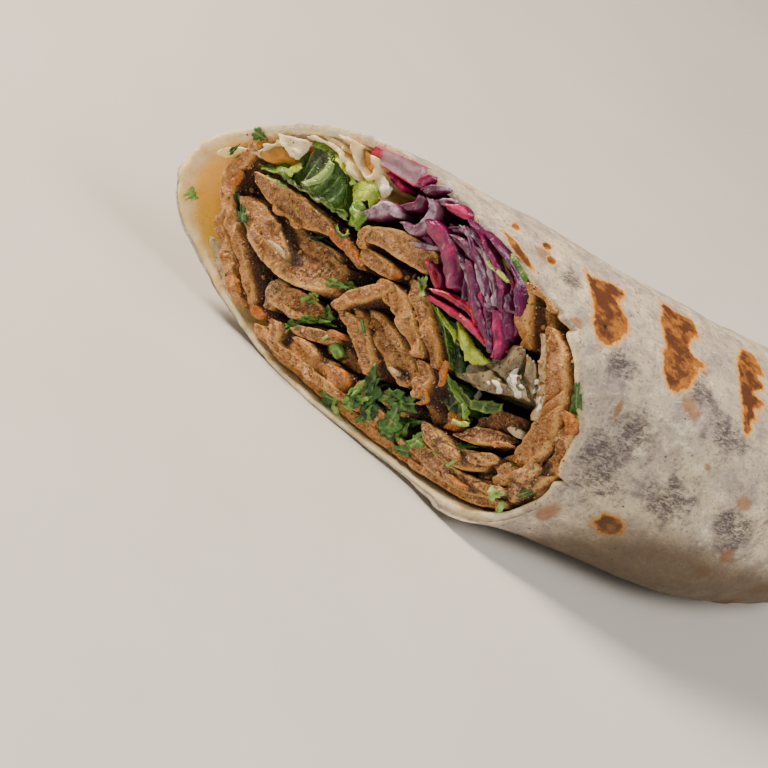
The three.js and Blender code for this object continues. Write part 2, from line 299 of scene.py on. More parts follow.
def noiseIn(tree, coords, size, detail=3.0, roughness=0.55, distortion=0.0, stretch=None):
    if stretch is not None:
        mapping = tree.nodes.new("ShaderNodeMapping")
        mapping.inputs["Scale"].default_value = stretch
        tree.links.new(coords, mapping.inputs["Vector"])
        coords = mapping.outputs["Vector"]
    node = tree.nodes.new("ShaderNodeTexNoise")
    setNode(node, Scale=1 / (size * mm), Detail=detail, Roughness=roughness, Distortion=distortion)
    tree.links.new(coords, node.inputs["Vector"])
    return node.outputs["Fac"]


def cellsIn(tree, coords, size, feature="F1"):
    node = tree.nodes.new("ShaderNodeTexVoronoi")
    node.feature = feature
    setNode(node, Scale=1 / (size * mm))
    tree.links.new(coords, node.inputs["Vector"])
    return node.outputs["Distance"]


def attributeIn(tree, name):
    node = tree.nodes.new("ShaderNodeAttribute")
    node.attribute_name = name
    return node.outputs["Fac"]


def maths(tree, operation, a, b=0.0, c=0.0, clamp=False):
    node = tree.nodes.new("ShaderNodeMath")
    node.operation = operation
    node.use_clamp = clamp
    for k, value in enumerate((a, b, c)):
        if isinstance(value, (int, float)):
            node.inputs[k].default_value = value
        else:
            tree.links.new(value, node.inputs[k])
    return node.outputs[0]


def between(tree, value, low, high, outLow=0.0, outHigh=1.0):
    node = tree.nodes.new("ShaderNodeMapRange")
    node.interpolation_type = "SMOOTHSTEP"
    tree.links.new(value, node.inputs["Value"])
    for key, number in zip(("From Min", "From Max", "To Min", "To Max"), (low, high, outLow, outHigh)):
        node.inputs[key].default_value = number
    return node.outputs["Result"]


def blended(tree, factor, a, b):
    node = tree.nodes.new("ShaderNodeMix")
    node.data_type = "RGBA"
    for key, value in (("Factor_Float", factor), ("A_Color", a), ("B_Color", b)):
        socket = next(s for s in node.inputs if s.identifier == key)
        if isinstance(value, str):
            socket.default_value = paint(value)
        elif isinstance(value, (int, float)):
            socket.default_value = value
        else:
            tree.links.new(value, socket)
    return next(s for s in node.outputs if s.identifier == "Result_Color")


def coated(tree, base, colour, value, low, high, outLow=0.0, outHigh=1.0):
    return blended(tree, between(tree, value, low, high, outLow, outHigh), base, colour)


def bumped(tree, shader, height, distance, strength=1.0):
    node = tree.nodes.new("ShaderNodeBump")
    setNode(node, Strength=strength, Distance=distance * mm)
    tree.links.new(height, node.inputs["Height"])
    tree.links.new(node.outputs["Normal"], shader.inputs["Normal"])


# Camera, floor and lights.
view = {
    "aim": (-46.3, 2.3, 25.2), "azimuth": -34, "elevation": 31, "roll": 38, "distance": 431,
    "aimPixel": (380, 318), "imageSize": 768, "focalPixels": 2133.3, "sensor": 36,
}


def cameraAxes():
    azimuth, elevation, twist = (math.radians(view[k]) for k in ("azimuth", "elevation", "roll"))
    level = Vector((math.cos(azimuth), math.sin(azimuth), 0))
    back = Vector((math.sin(azimuth) * math.cos(elevation), -math.cos(azimuth) * math.cos(elevation),
                   math.sin(elevation)))
    upright = back.cross(level)
    right = level * math.cos(twist) + upright * math.sin(twist)
    up = upright * math.cos(twist) - level * math.sin(twist)
    return right, up, back


def cameraEye():
    right, up, back = cameraAxes()
    perPixel = view["distance"] / view["focalPixels"]
    centre = view["imageSize"] / 2
    eye = Vector(view["aim"]) + back * view["distance"]
    eye -= right * (view["aimPixel"][0] - centre) * perPixel
    eye += up * (view["aimPixel"][1] - centre) * perPixel
    return eye


def addCamera():
    data = bpy.data.cameras.new("camera")
    data.sensor_width = view["sensor"]
    data.lens = view["focalPixels"] * view["sensor"] / view["imageSize"]
    data.clip_start = 0.01
    camera = bpy.data.objects.new("camera", data)
    matrix = Matrix(cameraAxes()).transposed().to_4x4()
    matrix.translation = cameraEye() * mm
    camera.matrix_world = matrix
    bpy.context.scene.collection.objects.link(camera)
    bpy.context.scene.camera = camera


addCamera()

# Places on the cut are given as they appear from the camera: `sight` is a millimetre out of the cut along
# the line of sight, and `lean` is how far a slice that stands out along the roll moves across and up for it.
sight = np.array(cameraAxes()[2])
sight /= sight @ outward
sideways = np.array([cosCut, -sinCut, 0.0])
lean = ((sight + np.array([1 / sinCut, 0, 0])) @ sideways, sight[2])

studio = {
    "floorSize": 3.0, "floorColour": "#bfbcb6", "world": 0.13,
    "lights": [  # name, direction from the wrap, distance, size, power, colour
        ("key", (-0.72, 0.46, 0.68), 0.9, 0.22, 22.0, "#ffecd4"),
        ("window", (0.45, -0.50, 0.80), 0.9, 0.5, 8.0, "#fff8f0"),
        ("fill", (-0.45, -0.85, 0.35), 1.0, 0.6, 1.7, "#fff4e6"),
    ],
}


def addStudio():
    half = studio["floorSize"] / 2
    mesh = bpy.data.meshes.new("floor")
    mesh.from_pydata([(-half, -half, 0), (half, -half, 0), (half, half, 0), (-half, half, 0)], [],
                     [(0, 1, 2, 3)])
    material, tree, shader, coords = newFinish("floor paint")
    grain = noiseIn(tree, coords, 60)
    tree.links.new(blended(tree, grain, studio["floorColour"], "#cfccc7"), shader.inputs["Base Color"])
    setNode(shader, Roughness=0.7)
    mesh.materials.append(material)
    floor = bpy.data.objects.new("floor", mesh)
    bpy.context.scene.collection.objects.link(floor)
    world = bpy.data.worlds.new("studio")
    bpy.context.scene.world = world
    world.use_nodes = True
    world.node_tree.nodes["Background"].inputs["Color"].default_value = paint("#f4f5f8")
    world.node_tree.nodes["Background"].inputs["Strength"].default_value = studio["world"]
    aim = Vector(view["aim"]) * mm
    for name, direction, distance, size, power, colour in studio["lights"]:
        data = bpy.data.lights.new(name, "AREA")
        data.size = size
        data.energy = power
        data.color = paint(colour)[:3]
        light = bpy.data.objects.new(name, data)
        light.location = aim + Vector(direction).normalized() * distance
        light.rotation_euler = Vector(direction).to_track_quat("Z", "Y").to_euler()
        bpy.context.scene.collection.objects.link(light)


addStudio()
print("camera, floor and lights are in")


# Shape builders.
def smoothLine(points, count):
    p = np.array(points, float)
    p = np.vstack([2 * p[0] - p[1], p, 2 * p[-1] - p[-2]])
    dense = []
    for k in range(1, len(p) - 2):
        d0, d1, d2 = (max(np.linalg.norm(p[k + j] - p[k + j - 1]) ** 0.5, 1e-4) for j in (0, 1, 2))
        t1 = ((p[k] - p[k - 1]) / d0 - (p[k + 1] - p[k - 1]) / (d0 + d1) + (p[k + 1] - p[k]) / d1) * d1
        t2 = ((p[k + 1] - p[k]) / d1 - (p[k + 2] - p[k]) / (d1 + d2) + (p[k + 2] - p[k + 1]) / d2) * d1
        t = np.linspace(0, 1, 25)[:-1, None]
        dense.append(p[k] + t1 * t + (3 * (p[k + 1] - p[k]) - 2 * t1 - t2) * t**2
                     + (2 * (p[k] - p[k + 1]) + t1 + t2) * t**3)
    dense = np.vstack(dense + [p[-2:-1]])
    length = np.concatenate([[0], np.cumsum(np.linalg.norm(np.diff(dense, axis=0), axis=1))])
    at = np.linspace(0, length[-1], count)
    return np.stack([np.interp(at, length, dense[:, k]) for k in range(p.shape[1])], axis=1)


def gradedSteps(first, growth, largest, total):
    steps = [0.0]
    step = first
    while steps[-1] < total:
        steps.append(steps[-1] + step)
        step = min(step * growth, largest)
    return np.array(steps) * total / steps[-1]


def lineLength(points):
    return float(np.linalg.norm(np.diff(smoothLine(points, 60), axis=0), axis=1).sum())


slabShape = {
    "step": 0.32, "corner": 0.3, "dome": 0.06, "endRound": 0.9, "deep": 101, "firstStep": 0.33,
    "growth": 1.18, "longestStep": 9, "nearReach": 3.5, "leanFade": 12, "placed": False,
}


# A slice on edge: its line on the cut face, run back along the roll, as one closed skin.
# Grooves are (share across, from, to, depth): lines between layers that show on the cut edge.
def slab(line, thick, out=0.0, frontRough=0.5, frontTilt=0.0, grooves=(), seed=0, **changes):
    shape = {**slabShape, **changes}
    count = max(10, int(lineLength(line) / shape["step"]))
    centre = smoothLine(line, count)
    along = np.gradient(centre, axis=0)
    along /= np.linalg.norm(along, axis=1, keepdims=True)
    across = np.stack([-along[:, 1], along[:, 0]], axis=1)
    reach = np.linspace(0, 1, count)
    half = np.interp(reach, np.linspace(0, 1, len(thick)), thick) / 2
    travelled = reach * lineLength(line)
    fromEnd = np.minimum(travelled, travelled[-1] - travelled)
    half = half * np.sqrt(1 - (1 - np.clip(fromEnd / shape["endRound"], 0, 1)) ** 2) + 1e-6
    corner = np.minimum(shape["corner"], 0.85 * half)
    depths = gradedSteps(shape["firstStep"], shape["growth"], shape["longestStep"], shape["deep"])[1:]
    arc = np.linspace(0, math.pi / 2, 5)
    frontCount = max(4, int(max(thick) / shape["step"]))
    face = np.linspace(-1, 1, frontCount + 2)[1:-1]
    sides, backs = [], []
    for d in depths[::-1]:
        sides.append(-half)
        backs.append(corner + d)
    for a in arc:
        sides.append(-(half - corner) - corner * math.cos(a))
        backs.append(corner - corner * math.sin(a))
    for g in face:
        sides.append(g * (half - corner))
        backs.append(0 * half - shape["dome"] * (1 - g * g))
    for a in arc[::-1]:
        sides.append((half - corner) + corner * math.cos(a))
        backs.append(corner - corner * math.sin(a))
    for d in depths:
        sides.append(half)
        backs.append(corner + d)
    side = np.stack(sides, axis=1)
    depth = np.stack(backs, axis=1)
    share = side / np.maximum(half, 1e-3)[:, None]
    near = np.exp(-np.maximum(depth, 0) / shape["nearReach"])
    u = np.broadcast_to(travelled[:, None], side.shape)
    ragged = lineNoise(u + 31 * seed, 3.6, seed) + 0.5 * lineNoise(u + 1.3 * side, 1.4, seed + 7)
    back = depth - out + near * (frontRough * ragged + frontTilt * share)
    for at, start, stop, deep in grooves:
        path = at + 0.14 * lineNoise(travelled[:, None] + 9 * seed, 4, seed + 3)
        inside = np.clip((reach - start) / 0.06, 0, 1) * np.clip((stop - reach) / 0.06, 0, 1)
        gap = (share - path) * np.maximum(half, 0.4)[:, None]
        back = back + near * deep * inside[:, None] * np.exp(-(gap / 0.42) ** 2)
    shift = out * np.exp(-np.maximum(depth, 0) / shape["leanFade"])
    q = centre[:, :1] + across[:, :1] * side + lean[0] * shift
    z = centre[:, 1:] + across[:, 1:] * side + lean[1] * shift
    values = {"side": share, "back": np.maximum(depth, 0), "along": u}
    if shape["placed"]:
        values.update(q=q, z=z, level=back)
    return facingOut(welded(gridPart(behindCut(q, z, back), closed=True, **values)))


# Outlines of slices on the cut face, for the shade that the slices in front leave on those behind.
def outlinesOf(pieces, count=36):
    outlines = []
    for piece in pieces:
        for layer in [piece] + piece.get("extra", []):
            out = layer.get("out", 0.0)
            half = np.interp(np.linspace(0, 1, count), np.linspace(0, 1, len(layer["thick"])),
                             layer["thick"]) / 2
            outlines.append((smoothLine(layer["line"], count) + np.array(lean[:2]) * out, half, out))
    return outlines


def shadeUnder(part, outlines, reach=1.4, lag=0.5):
    q, z, level = (part["values"].pop(k) for k in ("q", "z", "level"))
    shade = np.zeros(len(q))
    for line, half, out in outlines:
        margin = half.max() + reach
        step = level + out
        low, high = line.min(axis=0) - margin, line.max(axis=0) + margin
        close = (q > low[0]) & (q < high[0]) & (z > low[1]) & (z < high[1])
        near = np.nonzero(close & (step > lag) & (level < 9))[0]
        if len(near) == 0:
            continue
        gap = np.hypot(q[near, None] - line[None, :, 0], z[near, None] - line[None, :, 1]) - half[None, :]
        gap = gap.min(axis=1)
        amount = np.clip(1 - gap / reach, 0, 1) ** 1.3 * np.clip((step[near] - lag) / 1.2, 0, 1)
        shade[near] = np.maximum(shade[near], amount)
    return shade


# A thin sheet through rows of (q, z, out) points, its edges closed.
def sheet(rows, thickness=0.6, counts=(36, 36), ruffle=0.0, ruffleSize=2.0, jag=0.0, seed=0):
    lines = np.array([smoothLine(row, counts[1]) for row in rows])
    grid = np.stack([smoothLine(lines[:, k], counts[0]) for k in range(counts[1])], axis=1)
    if jag:
        for axis, count in ((0, counts[0]), (1, counts[1])):
            turned = np.moveaxis(grid, axis, 0)
            side = np.arange(count, dtype=float)
            for end, fromEnd in ((0, side), (-1, side[::-1])):
                away = turned[end] - turned[3 if end == 0 else -4]
                away /= np.maximum(np.linalg.norm(away, axis=1, keepdims=True), 1e-6)
                teeth = lineNoise(np.arange(len(away)) * 0.26, 0.9, seed + 5 + axis - end)
                push = jag * (teeth + 0.5 * lineNoise(np.arange(len(away)) * 0.26, 2.7, seed + axis - end))
                turned += np.exp(-fromEnd / 2.5)[:, None, None] * (away * push[:, None])[None]
    points = behindCut(grid[..., 0] + lean[0] * grid[..., 2], grid[..., 1] + lean[1] * grid[..., 2],
                       -grid[..., 2])
    a = np.broadcast_to(np.linspace(0, 1, counts[0])[:, None], grid.shape[:2])
    b = np.broadcast_to(np.linspace(0, 1, counts[1])[None, :], grid.shape[:2])
    edge = np.minimum(np.minimum(a, 1 - a) * counts[0], np.minimum(b, 1 - b) * counts[1])
    normal = np.cross(np.gradient(points, axis=0), np.gradient(points, axis=1))
    normal /= np.maximum(np.linalg.norm(normal, axis=2, keepdims=True), 1e-9)
    if ruffle:
        flat = points.reshape(-1, 3)
        wave = noise(flat, ruffleSize, seed) + 0.4 * noise(flat, ruffleSize * 0.5, seed + 3)
        points = points + normal * (ruffle * wave).reshape(a.shape)[..., None]
    half = thickness / 2 * np.sqrt(1 - (1 - np.clip(edge / 2, 0, 1)) ** 2)
    skins = [gridPart(points + s * normal * half[..., None], a=a, b=b, edge=edge) for s in (1, -1)]
    skins[1]["faces"] = skins[1]["faces"][:, ::-1]
    return facingOut(welded(joined(skins)))


# Flatbread: outer skin, rim and lining in one closed mesh. Marks are (x along the roll, turn, half length,
# half width, slant). The seen ones are given where the camera's picture has them, as (across, down, ...).
# Rim shifts are (turn, width, out) and flares (turn, width, rise, reach), turns and widths in degrees.
bread = {
    "turns": 336, "rimArc": 5, "rimBulge": 0.88, "sag": 0.45, "grain": 0.07, "outerStep": (0.3, 1.05, 0.85),
    "innerStep": (0.3, 1.12, 3.0), "tipLength": 26, "tipRows": 34, "unmarked": -1.5, "outlineFade": 3,
    "seenOutlines": [
        [(586, 268), (591, 276), (600, 279), (612, 284), (622, 290), (624, 295), (619, 299), (618, 305),
         (627, 322), (625, 333), (617, 342), (609, 344), (600, 341), (594, 326), (592, 296), (588, 280)],
        [(661, 303), (669, 309), (679, 315), (690, 320), (695, 328), (696, 336), (690, 342), (688, 347),
         (696, 361), (704, 366), (696, 370), (693, 379), (687, 388), (678, 391), (670, 388), (666, 378),
         (664, 366), (664, 352), (666, 344), (664, 330), (662, 316)],
        [(741, 350), (750, 353), (757, 362), (763, 374), (757, 378), (763, 386), (756, 391), (754, 396),
         (762, 402), (760, 408), (754, 411), (757, 418), (752, 423), (751, 433), (746, 434), (745, 420),
         (742, 400), (739, 380), (738, 362)],
    ],
    "seenToast": [(515, 227, 0.9, 1.3, 40), (546, 247, 1.0, 1.6, 60), (551, 261, 1.0, 1.5, 50),
                  (609, 525, 2.4, 3.0, 0)],
    "seenTint": [
        (548, 510, 3.0, 2.6, 0), (744, 503, 1.8, 2.4, 0), (727, 556, 2.0, 2.4, 0), (703, 571, 2.0, 2.0, 0),
        (707, 467, 1.0, 1.0, 0), (760, 590, 2.6, 3.0, 0), (575, 324, 1.6, 2.2, 0), (618, 409, 3.0, 0.8, 10),
    ],
    "seenChar": [(620, 360, 3.4, 4.0, 0), (670, 500, 5.0, 5.0, 0), (735, 530, 5.0, 6.0, 0),
                 (700, 390, 4.0, 4.0, 0)],
    "seenHole": [(604.7, 326.6, 0.8, 0.8, 0)], "toast": [(11.2, 108, 4.6, 1.2, 38)],
    "tint": [(55.6, 137, 3.6, 1.8, 25), (17.6, 103, 2.4, 2.6, 0), (55.2, 137, 2.0, 2.8, 0),
             (58.4, 118, 0.8, 1.2, 0)],
    "char": [
        (39.6, 170, 6.5, 5.0, 0), (46.4, 158, 5.0, 6.0, 0), (44.0, 179, 6.0, 6.0, 0),
        (66.0, 140, 4.0, 6.0, 0), (90.0, 120, 7.0, 6.0, 0), (88.0, 158, 6.0, 6.0, 0),
        (24.0, 110, 3.0, 4.0, 0), (98.0, 90, 6.0, 6.0, 0),
    ],
    "farMarks": {"count": 13, "seed": 5, "turns": (205, 425), "x": (10, 112), "length": (4, 9),
                 "width": (2.0, 3.6)},
    "crease": [(33, 156), (44.9, 159), (53.0, 161), (58, 166), (66, 170), (80, 174)], "creaseDepth": 0.55,
    "creaseWidth": 2.6, "fray": 0.28,
    "rimShifts": [(262, 24, 2.2), (222, 13, 1.5), (127, 1.6, -1.0), (131.5, 1.8, -1.5), (150, 6, 0.6),
                  (335, 22, 0.6), (100, 14, 0.4), (60, 9, -0.5), (187.5, 1.0, -1.5), (168, 3, -0.6)],
    "flares": [(220, 13, 2.3, 13), (312, 26, -1.3, 22), (350, 16, -0.5, 16)], "goldenAt": 338,
    "goldenWidth": 36, "loose": [
        {"rows": [[(-39, 43.6, 0.2), (-34, 47.6, 0), (-29, 50.6, 0), (-25.4, 52.2, 0)],
                  [(-38, 42.6, -1.2), (-33, 46.2, -1.4), (-28.6, 48.8, -1.4), (-25.4, 50, -1.4)],
                  [(-37, 41.4, -2.4), (-32, 44.6, -2.4), (-28.6, 46.6, -2.4), (-25, 47.2, -2.4)]],
         "thick": 0.8, "golden": 0.55, "ruffle": 0.5},
        {"line": [(-34, 45.2), (-31.8, 46.6), (-27.4, 47.4), (-23.6, 46.8), (-20.2, 45.6), (-16.6, 45.2),
                  (-13.8, 45.8)],
         "thick": [0.6, 0.9, 0.9, 0.8, 0.9, 0.8], "out": 1.2, "deep": 95, "golden": 0.6, "lining": 0.4,
         "toast": -0.15},
        {"line": [(-31.4, 47.9), (-28, 48.8), (-25, 49)], "thick": [0.8, 1.1, 0.8], "out": 0.4, "deep": 40,
         "golden": 0.9, "lining": 0.4, "toast": -0.05},
        {"line": [(-30.8, 49.6), (-28, 50.5), (-25.4, 51)], "thick": [0.6, 0.9, 0.7], "out": 0.8, "deep": 40,
         "golden": 0.6, "lining": 0.4, "toast": -0.15},
        {"line": [(-25.2, 51.6), (-24.9, 50.4), (-22.9, 48.6), (-20.8, 47.4), (-18.7, 47.2), (-17.9, 48.6),
                  (-18.9, 50.4), (-20.6, 51.6)],
         "thick": [0.5, 0.7, 0.6, 0.7, 0.9, 0.9, 0.7], "out": 1.5, "deep": 12, "golden": 0.5, "fray": 0.3},
        {"line": [(-24.6, 51.2), (-22.4, 50), (-19.6, 48.8)], "thick": [1.4, 3.2, 3.2], "out": 0.1, "deep": 9,
         "golden": 1.9, "fray": 0.3},
        {"line": [(-45.4, 29.6), (-44.2, 32.6), (-42.6, 34.4), (-41, 34.8), (-39.8, 37), (-38.8, 39),
                  (-38, 40.8)],
         "thick": [0.6, 0.7, 0.8, 0.7, 0.8, 0.7], "out": 1.0, "deep": 24, "golden": 0.8},
        {"line": [(-39.4, 35.6), (-37.4, 38), (-35.8, 39.6)], "thick": [2.4, 3.8, 2.2], "out": 0.4,
         "deep": 12, "golden": 1.8, "fray": 0.4},
        {"rows": [[(-38.8, 42, 0.6), (-36, 43.2, 0.8), (-33.6, 44.6, 0.8), (-32, 45.6, 0.4)],
                  [(-38, 41.2, 1.2), (-35.6, 41.6, 0.6), (-33.2, 42.6, 0.8), (-31.8, 43.4, 0.5)],
                  [(-37.4, 40.4, 1.4), (-35, 39.9, 1.3), (-33, 39.8, 1.3), (-32, 40.6, 0.9)]],
         "thick": 0.4, "golden": 0.15, "ruffle": 0.35},
        {"rows": [[(-17.8, 50.2, 0.6), (-16, 50, 0.8), (-14.4, 49.2, 0.8), (-13.2, 48.2, 0.6)],
                  [(-17.4, 48.8, 1.0), (-16, 48.4, 1.2), (-14.4, 47.8, 1.2), (-13.4, 47.2, 0.8)],
                  [(-17.4, 47.2, 1.0), (-16, 46.9, 1.2), (-14.8, 46.4, 1.2), (-13.8, 46, 0.8)]],
         "thick": 0.45, "golden": 0.3, "ruffle": 0.25},
    ],
}


# The part of the roll's skin that faces the camera, with the picture point of each place on it.
def seenSkin():
    x, turn = np.meshgrid(np.arange(*seen["x"]), np.radians(np.arange(*seen["turn"])))
    y = roll["middleY"] + outlineRadius(turn) * np.cos(turn)
    z = roll["middleZ"] + outlineRadius(turn) * np.sin(turn)
    away = placeInRoll(y, z, x, roll["tailX"]) - np.array(cameraEye())
    right, up, back = (np.array(axis) for axis in cameraAxes())
    perPixel = -(away @ back) / view["focalPixels"]
    across = view["imageSize"] / 2 + (away @ right) / perPixel
    down = view["imageSize"] / 2 - (away @ up) / perPixel
    return x.ravel(), np.degrees(turn).ravel(), across.ravel(), down.ravel()


seen = {"x": (6, 104, 0.1), "turn": (56, 232, 0.2)}  # from, to, step
seen["skin"] = seenSkin()


def onRoll(across, down):
    x, turn, skinAcross, skinDown = seen["skin"]
    nearest = np.argmin((skinAcross - across) ** 2 + (skinDown - down) ** 2)
    return float(x[nearest]), float(turn[nearest])


def turnGap(turn, at):
    return (np.degrees(turn) - at + 180) % 360 - 180


def markField(x, turn, marks):
    best = np.full(x.shape, bread["unmarked"])
    for atX, atTurn, halfLength, halfWidth, slant in marks:
        dx = x - atX
        dt = turnGap(turn, atTurn) * math.radians(1) * roll["meanRadius"]
        c, s = math.cos(math.radians(slant)), math.sin(math.radians(slant))
        distance = np.hypot((dt * c + dx * s) / halfLength, (dx * c - dt * s) / halfWidth)
        best = np.maximum(best, 1 - distance)
    return best


def outlineField(x, turn, outline):
    perDegree = math.radians(1) * roll["meanRadius"]
    at = np.stack([x, turnGap(turn, 90) * perDegree], axis=-1).reshape(-1, 2)
    outline = [onRoll(*point) for point in outline]
    corners = smoothLine(outline + outline[:1], 70)[:-1]
    corners[:, 1] = (corners[:, 1] - 90) * perDegree
    nearest, inside = np.full(len(at), 9.0), np.zeros(len(at), bool)
    for a, b in zip(corners, np.roll(corners, -1, axis=0)):
        run = b - a
        t = np.clip((at - a) @ run / (run @ run), 0, 1)
        nearest = np.minimum(nearest, np.linalg.norm(at - a - t[:, None] * run, axis=1))
        crossed = (a[1] > at[:, 1]) != (b[1] > at[:, 1])
        inside ^= crossed & (at[:, 0] < a[0] + (at[:, 1] - a[1]) * run[0] / (run[1] + 1e-9))
    return (np.where(inside, nearest, -nearest) / bread["outlineFade"]).reshape(x.shape)


def farMarks():
    far = bread["farMarks"]
    draw = np.random.default_rng(far["seed"])
    marks = []
    for k in range(far["count"]):
        x = draw.uniform(*far["x"])
        share = (k + draw.uniform(0.2, 0.8)) / far["count"]
        turn = far["turns"][0] + (far["turns"][1] - far["turns"][0]) * share
        marks.append((x, turn % 360, draw.uniform(*far["length"]), draw.uniform(*far["width"]),
                      draw.uniform(-25, 25)))
    return marks


def breadRelief(x, turn, back):
    relief = 0 * x
    creaseX = [p[0] for p in bread["crease"]]
    creaseTurn = np.interp(x, creaseX, [p[1] for p in bread["crease"]])
    gap = turnGap(turn, creaseTurn) * math.radians(1) * roll["meanRadius"]
    inside = np.exp(-(np.maximum(creaseX[0] - x, 0) / 4) ** 2 - (np.maximum(x - creaseX[-1], 0) / 14) ** 2)
    relief -= bread["creaseDepth"] * inside * np.exp(-(gap / bread["creaseWidth"]) ** 2)
    relief += 0.35 * inside * np.exp(-((gap + 5) / 4) ** 2)
    for at, width, rise, reach in bread["flares"]:
        relief += rise * np.exp(-(turnGap(turn, at) / width) ** 2) * np.exp(-np.maximum(back, 0) / reach)
    rounding = np.clip((x - roll["roundFromX"] + 4) / 22, 0, 1)
    phase = (np.degrees(turn) / 360 * roll["pleatCount"] * 2 + 1.1 * rounding) % 1.0
    relief += 1.5 * rounding**1.5 * (phase - np.clip((phase - 0.93) / 0.07, 0, 1) - 0.45)
    return relief


def seamRise(turn):
    before = -turnGap(turn, roll["seamAt"])
    return np.where((before >= 0) & (before <= roll["seamBlend"]),
                    roll["seamStep"] * (1 - before / roll["seamBlend"]), 0)


def rimShift(turn):
    along = turn * roll["meanRadius"]
    ring = np.stack([np.cos(turn), np.sin(turn), 0 * turn], axis=-1).reshape(-1, 3) * roll["meanRadius"]
    shift = (0.42 * noise(ring, 7, 3) + bread["fray"] * cloud(ring, 2.4, 9)).reshape(along.shape)
    for at, width, out in bread["rimShifts"]:
        shift = shift + out * np.exp(-(turnGap(turn, at) / width) ** 2)
    return shift


def breadTurns():
    turns = np.linspace(0, 360, bread["turns"], endpoint=False)
    turns = np.concatenate([turns, [roll["seamAt"] - 0.25, roll["seamAt"] + 0.25]])
    return np.radians(np.sort(turns))


def breadSkin(turn, radius, shares, endX, outShift):
    y = roll["middleY"] + radius * np.cos(turn)
    z = roll["middleZ"] + radius * np.sin(turn)
    frontX = -y * cotCut
    x = frontX - outShift / sinCut * (1 - shares) ** 6 + (endX - frontX) * shares
    return y, z, x


def flatbreadPart():
    turn = breadTurns()[None, :]
    length = roll["tailX"]
    outerShares = gradedSteps(*bread["outerStep"], length - bread["tipLength"]) / length
    tipRows = 1 - (1 - outerShares[-1]) * (1 - np.linspace(0, 1, bread["tipRows"])[1:]) ** 1.7
    outerShares = np.concatenate([outerShares, tipRows])[:, None]
    innerShares = gradedSteps(*bread["innerStep"], length)[:, None] / length
    shift = rimShift(turn)
    outerRadius = outlineRadius(turn) + seamRise(turn)
    innerRadius = outlineRadius(turn) - (roll["wallMean"] + roll["wallSwing"]
                                         * np.cos(turn - math.radians(roll["wallThickestAt"])))
    y, z, x = breadSkin(turn, outerRadius, outerShares, roll["tailX"], shift)
    back = (x + y * cotCut) * sinCut
    turns = np.broadcast_to(turn, x.shape)
    radius = outerRadius + breadRelief(x, turns, back)
    y = roll["middleY"] + radius * np.cos(turn)
    z = roll["middleZ"] + radius * np.sin(turn)
    outside = placeInRoll(y, z, x, roll["tailX"])
    frontOuter, frontInner = radius[0], np.broadcast_to(innerRadius, radius[:1].shape)[0]
    frontInner = frontInner + breadRelief(x[:1], turns[:1], back[:1])[0] * 0.8
    grow = np.exp(-innerShares * length / 6)
    liningRadius = innerRadius + (frontInner - innerRadius) * grow
    liningY = roll["middleY"] + liningRadius * np.cos(turn)
    liningZ = roll["middleZ"] + liningRadius * np.sin(turn)
    liningFront = -liningY * cotCut
    liningX = liningFront - shift / sinCut * (1 - innerShares) ** 6
    liningX = liningX + (roll["closeX"] - liningFront) * innerShares
    inside = placeInRoll(liningY, liningZ, liningX, roll["closeX"])
    arc = np.linspace(0, math.pi, bread["rimArc"] + 2)[1:-1, None]
    middleRadius = (frontOuter + frontInner) / 2
    halfWall = (frontOuter - frontInner) / 2
    rimRadius = middleRadius + halfWall * np.cos(arc)
    softness = 0.25 + 0.75 * np.exp(-(turnGap(turn, bread["goldenAt"]) / 75) ** 2)
    rimOut = shift + bread["rimBulge"] * softness * halfWall * np.sin(arc)
    rimY = roll["middleY"] + rimRadius * np.cos(turn)
    rimZ = roll["middleZ"] + rimRadius * np.sin(turn)
    rim = placeInRoll(rimY, rimZ, -rimY * cotCut - rimOut / sinCut, roll["tailX"])
    rows = [outside[::-1], rim, inside]
    counts = [len(r) for r in rows]

    def spread(*values):
        return np.concatenate([np.broadcast_to(v, (n, turn.shape[1])) for v, n in zip(values, counts)])

    def markedSkin(name, added=()):
        marks = bread.get(name, []) + list(added)
        marks += [(*onRoll(*mark[:2]), *mark[2:]) for mark in bread["seen" + name.capitalize()]]
        return markField(x, turns, marks)[::-1]

    unmarked = bread["unmarked"]
    toast = markedSkin("toast", farMarks())
    for outline in bread["seenOutlines"]:
        toast = np.maximum(toast, outlineField(x, turns, outline)[::-1])
    marked = {"toast": toast, **{name: markedSkin(name) for name in ("tint", "char", "hole")}}
    marked = {name: spread(field, unmarked, unmarked) for name, field in marked.items()}
    lining = spread(0.0, np.linspace(0.1, 0.9, counts[1])[:, None] ** (2.6 - 2 * softness), 1.0)
    depth = spread(np.maximum(back, 0)[::-1], 0.0, innerShares * length * sinCut)
    aroundTurn = spread(turns[::-1], turn, turn)
    # golden marks the far inner wall, which the finish paints bright golden for light shining through the
    # bread.
    golden = np.exp(-(turnGap(aroundTurn, bread["goldenAt"]) / bread["goldenWidth"]) ** 2)
    # Painted shade: the lower near side of the roll is painted darker, more so further back from the cut.
    under = np.clip(turnGap(aroundTurn, 176) / 34, 0, 1) * (turnGap(aroundTurn, 180) < 100)
    under = under * np.clip(depth / 22, 0.1, 1)
    part = gridPart(np.concatenate(rows), closed=True, lining=lining, back=depth, golden=golden, under=under,
                    **marked)
    part = facingOut(welded(part))
    at = part["points"]
    soft = bread["sag"] * cloud(at, 13, 2, 2)
    soft = soft + bread["grain"] * 2 * noise(at, 3.2, 4) + bread["grain"] * noise(at, 1.3, 6)
    inner = part["values"]["lining"]
    lift = soft * (1 - 0.4 * inner)
    lift -= 0.5 * np.clip(part["values"]["hole"], 0, 1)
    lift *= np.clip(at[:, 2] / 1.5, 0, 1)
    part = pushed(part, lift)
    part["points"][:, 2] = np.maximum(part["points"][:, 2], 0)
    return joined([part] + looseSheets())


